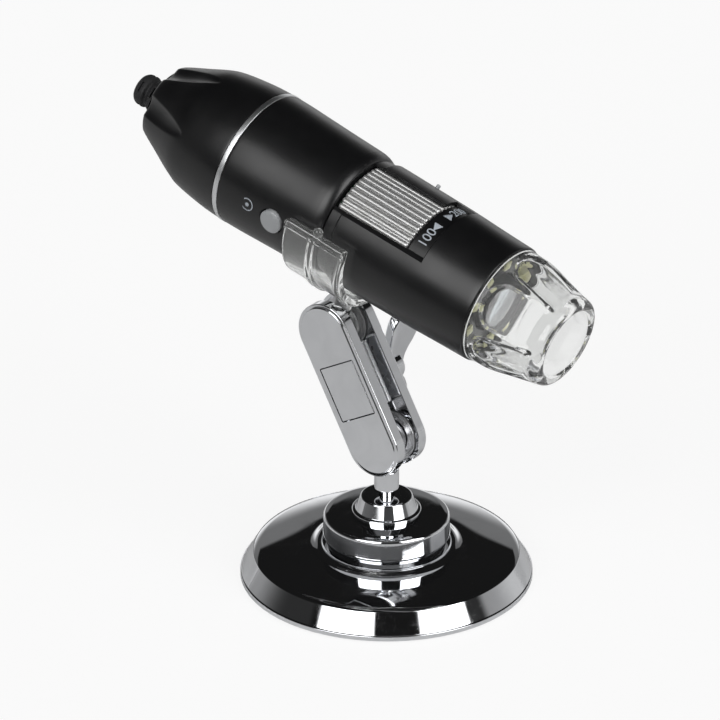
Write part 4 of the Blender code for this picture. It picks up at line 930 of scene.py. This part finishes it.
bore = turned([(4.0, 0.0), (4.0, 1.8), (9.6, 1.8), (9.6, 0.0)], 48)
knob = combined("DIFFERENCE", knob, bore)
KNOB_TURN = math.radians(40)
arm_across = ARM.to_3x3().col[0]
knob_way = arm_across * math.sin(KNOB_TURN) + arm_way * math.cos(KNOB_TURN)
KNOB = placed(lower_ball + arm_way * MIDDLE * MM, knob_way, SIDEWAYS)
fit("wing_clamp", knob, KNOB, "knob", "chrome", plating, "wing_knob")

# %% [markdown]
# The clear clip is the one piece between stand and tube. A band grips the lower half of the tube
# and ends in two bars, each with a thin bead below. It has a double rib, a rolled rim, a nub, and
# a stem below that flares into the band and ends in the upper ball. Each part is a simple form, and
# joining them before shading makes one piece of clear plastic with no walls left inside.


# %% Clear clip
def spot(station, angle, out=0.0):
    """A place on the tube with Z pointing away from its axis, in the tube's own directions."""
    turn = math.radians(angle)
    away = Vector((math.cos(turn), math.sin(turn), 0))
    return placed(away * out * MM + Vector((0, 0, station)) * MM, Vector((0, 0, 1)), away)


BAND = (
    (20.5, 15.92, 0.15), (20.5, 17.58, 0.4),
    (26.85, 17.58, 0.12), (27.02, 18.06, 0.16), (27.58, 18.06, 0.16), (27.75, 17.6, 0.1),
    (28.25, 17.6, 0.1), (28.42, 18.06, 0.16), (28.98, 18.06, 0.16), (29.15, 17.58, 0.12),
    (34.9, 17.56, 0.25), (35.3, 18.06, 0.35), (36.45, 18.06, 0.6), (36.8, 17.4, 0.35), (36.8, 15.92, 0.15),
)
BAND_FROM, BAND_TO = 82, 278
band = turned(rounded(BAND, 3), 132, first=BAND_FROM, last=BAND_TO)
extras = []
for angle, way in ((BAND_FROM, 1), (BAND_TO, -1)):
    low, high = sorted((way * -0.4, way * 0.8))
    lip = block((15.97, low, 20.56), (18.45, high, 36.74), 0.5, 6)
    bead = turned([(20.6, 0.0), (20.6, 0.34), (36.7, 0.34), (36.7, 0.0)], 24)
    bead = moved(bead, Matrix.Translation(Vector((17.66, way * 1.6, 0)) * MM))
    extras += [moved(bar, spun(angle)) for bar in (lip, bead)]
extras.append(moved(turned(arc(0.0, 1.15, 180, 0, 20), 36), spot(29.0, 78.2, 17.4)))
CLIP_MIDDLE = (upper_ball - ring_centre).dot(tube_way) / MM
stem = flowing(
    [(16.7, 4.9), (17.5, 4.7), (18.2, 3.9), (19.1, 2.95), (20.4, 2.25), (22.2, 2.0), (24.2, 1.95)], 5
)
stem = [(16.7, 0.0)] + stem + arc(28.6, BALL_RADIUS, 154.5, 0.0, 28)
extras.append(moved(turned(stem, 72), spot(CLIP_MIDDLE, 180)))
clip = combined("UNION", band, *extras)
fit("clear_cradle", clip, TUBE, "clip", "clear_plastic", milky, "clip", weigh=False)

# %% [markdown]
# The tail narrows to the cable end and has six leaf-shaped flutes pressed into it. The outline is
# swept as usual and a relief pulls the outer skin in: each leaf is widest at the rear face and
# closes to a point further forward, as a scoop cut with a round tool does.


# %% Tail
def radius_at(outline, along):
    """The radius of a flowing outline at one place along it."""
    for (low, first), (high, last) in zip(outline, outline[1:]):
        if low <= along <= high:
            return first + (last - first) * (along - low) / max(high - low, 1e-6)
    return outline[0][1] if along < outline[0][0] else outline[-1][1]


def off_pitch(angle, first, count):
    """How far an angle is from the nearest of evenly spaced ones, both in radians."""
    pitch = math.tau / count
    return (angle - math.radians(first) + pitch / 2) % pitch - pitch / 2


tail_skin = flowing(
    [
        (-27.2, 8.5), (-26.9, 9.0), (-26.3, 9.42), (-24.7, 10.2), (-20.9, 11.87), (-17.3, 13.5),
        (-14.7, 14.48), (-12.0, 15.05), (-8.4, 15.55), (-4.8, 15.92), (-1.2, 16.08), (-0.75, 16.0),
    ],
    6,
)


TAIL_END = -27.2
FLUTE_COUNT, FIRST_FLUTE = 6, 71
FLUTE_LENGTH, FLUTE_HALF_WIDTH, FLUTE_DEPTH = 14.2, 2.6, 1.08


def leaf_flutes(along, radius, angle):
    share = (along - TAIL_END) / FLUTE_LENGTH
    if share >= 1 or radius < radius_at(tail_skin, along) - 0.6:
        return radius
    half = FLUTE_HALF_WIDTH * math.sqrt(1 - share**2)
    across = abs(radius * off_pitch(angle, FIRST_FLUTE, FLUTE_COUNT)) / half
    return radius - FLUTE_DEPTH * math.sqrt(1 - share) * max(0.0, 1 - across**2.2)


tail = tail_skin + [
    (-0.75, 14.3), (-4.8, 14.2), (-9.5, 13.8), (-14.7, 12.7), (-19.9, 10.5), (-24.7, 8.4), (-25.5, 7.6),
    (-25.5, 2.7), (-27.1, 2.7), (-27.2, 2.8), (-27.2, 7.9),
]
fit(
    "fluted_tail", turned(tail, 336, leaf_flutes), TUBE, "microscope", "black_shell", satin_black,
    "rear_cap", sharp=40,
)

# %% [markdown]
# The cable leaves through a rubber gland of two soft lobes. Slots across the lobes let it bend.
# The lobes are turned, and small bars cut the slots out of them.

# %% Cable gland
lobes = flowing(
    [
        (-34.72, 2.9), (-34.45, 3.3), (-33.7, 3.72), (-32.2, 3.78), (-31.6, 3.2), (-31.2, 3.12),
        (-30.7, 3.6), (-30.2, 3.88), (-28.7, 3.88), (-27.95, 3.3), (-27.38, 3.12),
    ],
    5,
)
flange = [(-27.38, 2.4), (-25.2, 2.4), (-25.2, 3.0), (-24.0, 3.0), (-24.0, 1.55)]
gland = turned([(-34.72, 1.55)] + lobes + flange, 96)
bars = []
for station in (-32.97, -29.57):
    for turn in range(4):
        bar = block((3.05, -1.25, station - 0.45), (7.0, 1.25, station + 0.45), 0.15)
        bars.append(moved(bar, spun(52 + 90 * turn)))
gland = combined("DIFFERENCE", gland, *bars)
fit("slotted_gland", gland, TUBE, "microscope", "black_rubber", rubber, "cable_gland")

# %% [markdown]
# A thin silver ring marks the joint between tail and body. The body is the smooth part that the
# hand and the clip hold. It is widest at the ring, narrows gently, and turns in at a rounded
# shoulder before the focus wheel.

# %% Ring and body
ring = [(-0.6, 15.3), (-0.6, 16.19, 0.12), (0.6, 16.19, 0.12), (0.6, 15.3)]
fit(
    "silver_band", turned(rounded(ring, 5), 224), TUBE, "microscope", "silver_trim", silver, "silver_ring",
    own_axes=True,
)

skin = flowing(
    [(0.75, 15.98), (1.1, 16.09), (5, 16.05), (10, 15.87), (15, 15.7), (20, 15.55), (24.3, 15.43)], 7
)
shoulder = flowing([(25.6, 15.36), (26.6, 15.16), (27.4, 14.84), (27.95, 14.45), (28.15, 14.1)], 5)
body = turned(skin + shoulder + [(28.15, 12.2), (27.9, 12.2), (27.9, 13.9), (0.75, 13.9)], 256)
BUTTON_PLACE = spot(15.8, 95.6)
hole = [(10.0, 0.0), (10.0, 3.08), (15.55, 3.08), (15.95, 3.45), (18.0, 3.45), (18.0, 0.0)]
body = combined("DIFFERENCE", body, moved(turned(hole, 72), BUTTON_PLACE))
fit("body_tube", body, TUBE, "microscope", "black_shell", satin_black, "body_shell")

# %% [markdown]
# The capture button is a pale grey plug with a softly domed face, held in the wall by a flange.
# Ahead of it a small ring and dot, printed in pale ink, stands for what it does.

# %% Capture button
crown = flowing([(16.02, 2.8), (16.2, 2.62), (16.36, 2.1), (16.46, 1.1), (16.5, 0.0)], 5)
plug = [(12.42, 0.0), (12.42, 3.68), (13.08, 3.68), (13.08, 2.83)] + crown
fit(
    "capture_button", turned(plug, 72), TUBE @ BUTTON_PLACE, "button", "grey_plastic", grey_plastic,
    "snap_button",
)

# %% [markdown]
# The front shell has a window for the focus wheel and, ahead of it, a shallow recess for the
# printed dial. It starts in a narrow neck, so that a groove shows between it and the body. The
# outline is swept, then sector cutters of the same lathe open the window, the recess and the
# sunk ledge that runs beside both. The ledge leans away from the camera, so it stays dark.

# %% Front shell
outside = [(28.36, 13.97), (28.36, 14.38, 0.15), (30.85, 14.38, 0.12), (31.0, 14.86, 0.25)]
outside = rounded(outside + [(33.0, 14.86), (28.36, 13.97)], 4)[:-2]
taper = flowing([(33.0, 14.86), (40, 14.78), (46, 14.7), (52.5, 14.6), (60, 14.34), (67.9, 14.12)], 5)
lip = flowing([(68.2, 14.08), (68.4, 13.98), (68.48, 13.8)], 3)
inside = [
    (68.48, 12.93), (65.42, 12.93), (65.42, 12.32), (53.7, 12.32),
    (53.7, 12.8), (48.4, 12.8), (48.4, 13.95),
]
shell = turned(outside + taper + lip + inside, 256)
WINDOW = [(27.0, 12.0), (27.0, 18.0), (48.4, 18.0), (48.4, 12.0)]
RECESS = [(48.1, 13.1), (48.1, 18.0), (53.4, 18.0), (53.4, 13.1)]
LEDGE = [(27.0, 13.8), (27.0, 18.0), (53.4, 18.0), (53.4, 13.8)]
NEAR_EDGE, LEDGE_END = 53.6, 58
LEDGE_RISE = 0.65


def ledge_slope(along, radius, angle):
    return radius if radius > 15 else radius + LEDGE_RISE * (math.degrees(angle) - 53) / 5


window = turned(WINDOW, 48, first=-5, last=NEAR_EDGE)
recess = turned(RECESS, 60, first=-25, last=NEAR_EDGE)
ledge = turned(LEDGE, 12, ledge_slope, 52, LEDGE_END)
shell = combined("DIFFERENCE", shell, window, recess, ledge)
fit("front_barrel", shell, TUBE, "microscope", "black_shell", satin_black, "front_shell")

# %% [markdown]
# The wheel in the window is bright metal with fine straight ribs. They are rounded ridges with
# sharp valleys between, so each catches one light line. A relief on the lathe makes all of them.


# %% Focus wheel
RIB_COUNT, RIB_STEPS, RIB_DEPTH = 56, 14, 0.5


def wheel_ribs(along, radius, angle):
    if radius < 13.0:
        return radius
    across = off_pitch(angle, 0, RIB_COUNT) / (math.tau / RIB_COUNT) * 2.35
    return radius - RIB_DEPTH * (1 - math.sqrt(max(0.0, 1 - across**2)))


rim = [
    (28.62, 12.32), (28.62, 13.2), (28.75, 13.45), (29.05, 13.63), (29.3, 13.63), (38.3, 13.63),
    (47.3, 13.63), (47.55, 13.63), (47.85, 13.45), (47.98, 13.2), (47.98, 12.32),
]
wheel = turned(rim, RIB_COUNT * RIB_STEPS, wheel_ribs)
fit("ribbed_wheel", wheel, TUBE, "wheel", "wheel_metal", wheel_metal, "focus_wheel", sharp=50)
dress(rubber, "focus_sleeve")

# %% [markdown]
# The dial is a curved black strip in the recess, with plain numbers and two arrows printed on it.
# Letters are easiest flat, so they are made as text, turned into a mesh, cut finely, and then each
# point is wrapped round the tube's axis. The numbers read up the tube's side. The ring and dot
# beside the button are wrapped too, and the lathe draws them in thousandths of a millimetre,
# because the wrapping reads its points in millimetres and the lathe writes metres.


# %% Dial strip and its print
INK_DEPTH = 0.03


def wrapped(mesh, station, angle, radius):
    """Wraps a flat mesh in mm round the tube. Its X reads against the angle and its Y to the rear."""
    shell = bmesh.new()
    shell.from_mesh(mesh)
    for _ in range(2):
        long = [edge for edge in shell.edges if edge.calc_length() > 0.35]
        bmesh.ops.subdivide_edges(shell, edges=long, cuts=1)
        bmesh.ops.triangulate(shell, faces=[face for face in shell.faces if len(face.verts) > 4])
    for point in shell.verts:
        across, up, out = point.co
        turn = math.radians(angle) - across / radius
        reach = (radius + out) * MM
        point.co = (reach * math.cos(turn), reach * math.sin(turn), (station - up) * MM)
    return as_mesh(shell)


def flat_words(words, height):
    writing = bpy.data.curves.new("writing", "FONT")
    writing.body = words
    writing.size = height / 0.7
    writing.align_x, writing.align_y = "CENTER", "CENTER"
    writing.extrude = INK_DEPTH
    writing.resolution_u = 6
    return mesh_of(new_object("writing", writing))


strip = [(48.58, 13.27), (48.58, 13.84, 0.15), (53.0, 13.84, 0.15), (53.0, 13.27)]
fit(
    "dial_band", turned(rounded(strip, 4), 72, first=-24.3, last=53.2), TUBE, "microscope", "black_shell",
    satin_black, "dial_strip",
)
triangles = [[(-1.1, 0.0, z), (0.95, -1.15, z), (0.95, 1.15, z)] for z in (-INK_DEPTH, INK_DEPTH)]
arrow = moved(layered(triangles), Matrix.Scale(1 / MM, 4))
DIAL_MIDDLE, DIAL_SKIN = 50.9, 13.85
NUMBER_HEIGHT = 2.25
prints = [
    ("dial_low_number", flat_words("100", NUMBER_HEIGHT), 35.5),
    ("dial_high_number", flat_words("200", NUMBER_HEIGHT), -11.5),
    ("dial_low_arrow", arrow, 22.0),
    ("dial_high_arrow", moved(arrow.copy(), spun(180)), 2.5),
]
for name, mesh, angle in prints:
    mesh = wrapped(mesh, DIAL_MIDDLE, angle, DIAL_SKIN)
    fit(name, mesh, TUBE, "microscope", "grey_plastic", ink, weigh=False)

INK_MICRONS = INK_DEPTH / MM
for name, hole, size, steps in (("capture_mark_ring", 1350, 1600, 48), ("capture_mark_dot", 0, 480, 32)):
    profile = [(-INK_MICRONS, hole), (-INK_MICRONS, size), (INK_MICRONS, size), (INK_MICRONS, hole)]
    mark = wrapped(turned(profile, steps), 8.9, 93.0, 15.92)
    fit(name, mark, TUBE, "microscope", "grey_plastic", ink, weigh=False)

# %% [markdown]
# A tiny pale pin beside the window is the mark that the wheel is read against.

# %% Index pin
pin = [(14.7, 0.0), (14.7, 0.49), (15.5, 0.49, 0.2), (15.65, 0.25, 0.15), (15.65, 0.0)]
fit(
    "index_stud", turned(rounded(pin), 40), TUBE @ spot(41.0, -36), "microscope", "grey_plastic",
    grey_plastic, "index_pin",
)

# %% [markdown]
# Behind the clear nose sits the light board, a ring of ten small white lights with yellow caps, and
# the lens looks out through its hole. The lens slides in its black barrel when the wheel turns.

# %% Barrel, lens and lights
LAMP_COUNT, LAMP_RING = 10, 9.9
barrel = [
    (44.1, 8.9), (44.1, 10.45, 0.3), (62.2, 10.45, 0.3), (62.25, 6.58, 0.1), (63.4, 6.58), (63.6, 6.4),
    (63.8, 6.58), (69.3, 6.58, 0.3), (69.52, 6.2, 0.1), (69.52, 5.6, 0.1), (68.9, 5.08, 0.1),
    (67.2, 5.08), (67.2, 3.5), (60.65, 3.5), (60.65, 8.9),
]
fit("lens_tube", turned(rounded(barrel), 128), TUBE, "lens_carrier", "black_rubber", rubber, "lens_barrel")
LENS_EDGE, LENS_RADIUS, LENS_BULGE = 68.9, 4.8, 0.6
rings = [LENS_RADIUS - 0.4 * step for step in range(12)]
dome = [(LENS_EDGE + LENS_BULGE * (1 - (ring / LENS_RADIUS) ** 2), ring) for ring in rings]
glass = [(67.5, 0.0), (67.5, 4.6), (67.65, LENS_RADIUS)] + dome + [(69.5, 0.0)]
fit("front_lens", turned(glass, 128), TUBE, "lens_carrier", "lens_glass", lens_glass, "lens")
disc = [(65.72, 7.25), (65.72, 12.55, 0.1), (66.88, 12.55, 0.1), (66.88, 7.25, 0.1)]
fit("lamp_board", turned(rounded(disc), 128), TUBE, "microscope", "dark_board", black_board, "light_board")
for number in range(LAMP_COUNT):
    cap = combined(
        "UNION", block((-0.99, -0.99, 67.06), (0.99, 0.99, 67.85), 0.14),
        turned([(67.5, 0.0), (67.5, 0.82), (67.92, 0.82), (68.12, 0.62), (68.2, 0.3), (68.22, 0.0)], 32),
    )
    turn = spun(37 + 360 / LAMP_COUNT * number) @ Matrix.Translation(Vector((LAMP_RING, 0, 0)) * MM)
    fit(
        "lamp_%02d" % (number + 1), moved(cap, turn), TUBE, "microscope", "light_yellow", phosphor,
        "light_%02d" % (number + 1),
    )
dress(green_board, "main_board", "sensor_board")
dress(black_board, "button_switch", "image_sensor")

# %% [markdown]
# The nose is one moulded piece of clear acrylic with six broad scallops round it. Between them stay
# leaf-shaped ridges that taper towards the front. The scallops have crisp borders, so the relief
# rises steeply there, and the wall follows it inside and out as an even moulded wall does.

# %% Clear nose
nose_skin = flowing(
    [
        (68.75, 13.72), (69.0, 13.78), (70.0, 13.64), (71.4, 13.54), (73.1, 13.46), (75.6, 13.05),
        (78.7, 12.28), (81.9, 11.56), (83.4, 11.2), (85.0, 10.84), (86.1, 10.55), (86.75, 10.05),
        (86.97, 9.55),
    ],
    5,
)
nose_inside = flowing(
    [
        (86.97, 8.9), (86.75, 8.4), (86.1, 8.12), (84.6, 8.3), (81.9, 9.5), (78.7, 10.65), (75.6, 11.4),
        (73.1, 11.75), (71.4, 11.78), (69.4, 11.78), (67.45, 11.78),
    ],
    5,
)


NOSE_START, NOSE_LENGTH = 68.7, 18.3
SCALLOP_COUNT, FIRST_SCALLOP = 6, 57
SCALLOP_START, SCALLOP_END = 0.08, 0.88
SCALLOP_HALF_WIDTH, SCALLOP_DEPTH = 5.7, 1.35


def scallops(along, radius, angle):
    share = (along - NOSE_START) / NOSE_LENGTH
    if not SCALLOP_START < share < SCALLOP_END:
        return radius
    rise = min(1.0, (share - SCALLOP_START) / 0.2)
    arch = math.sqrt(1 - (1 - rise) ** 2)
    fade = min(1.0, (SCALLOP_END - share) / 0.14)
    across = abs(radius_at(nose_skin, along) * off_pitch(angle, FIRST_SCALLOP, SCALLOP_COUNT))
    across /= SCALLOP_HALF_WIDTH * arch
    return radius - SCALLOP_DEPTH * arch * fade * max(0.0, 1 - across**2.6)


nose = nose_skin + nose_inside + [(67.45, 12.58), (68.7, 12.6), (68.72, 13.5)]
fit(
    "scalloped_nose", turned(nose, 384, scallops), TUBE, "microscope", "clear_plastic", clear, "clear_nose",
    sharp=50, weigh=False,
)
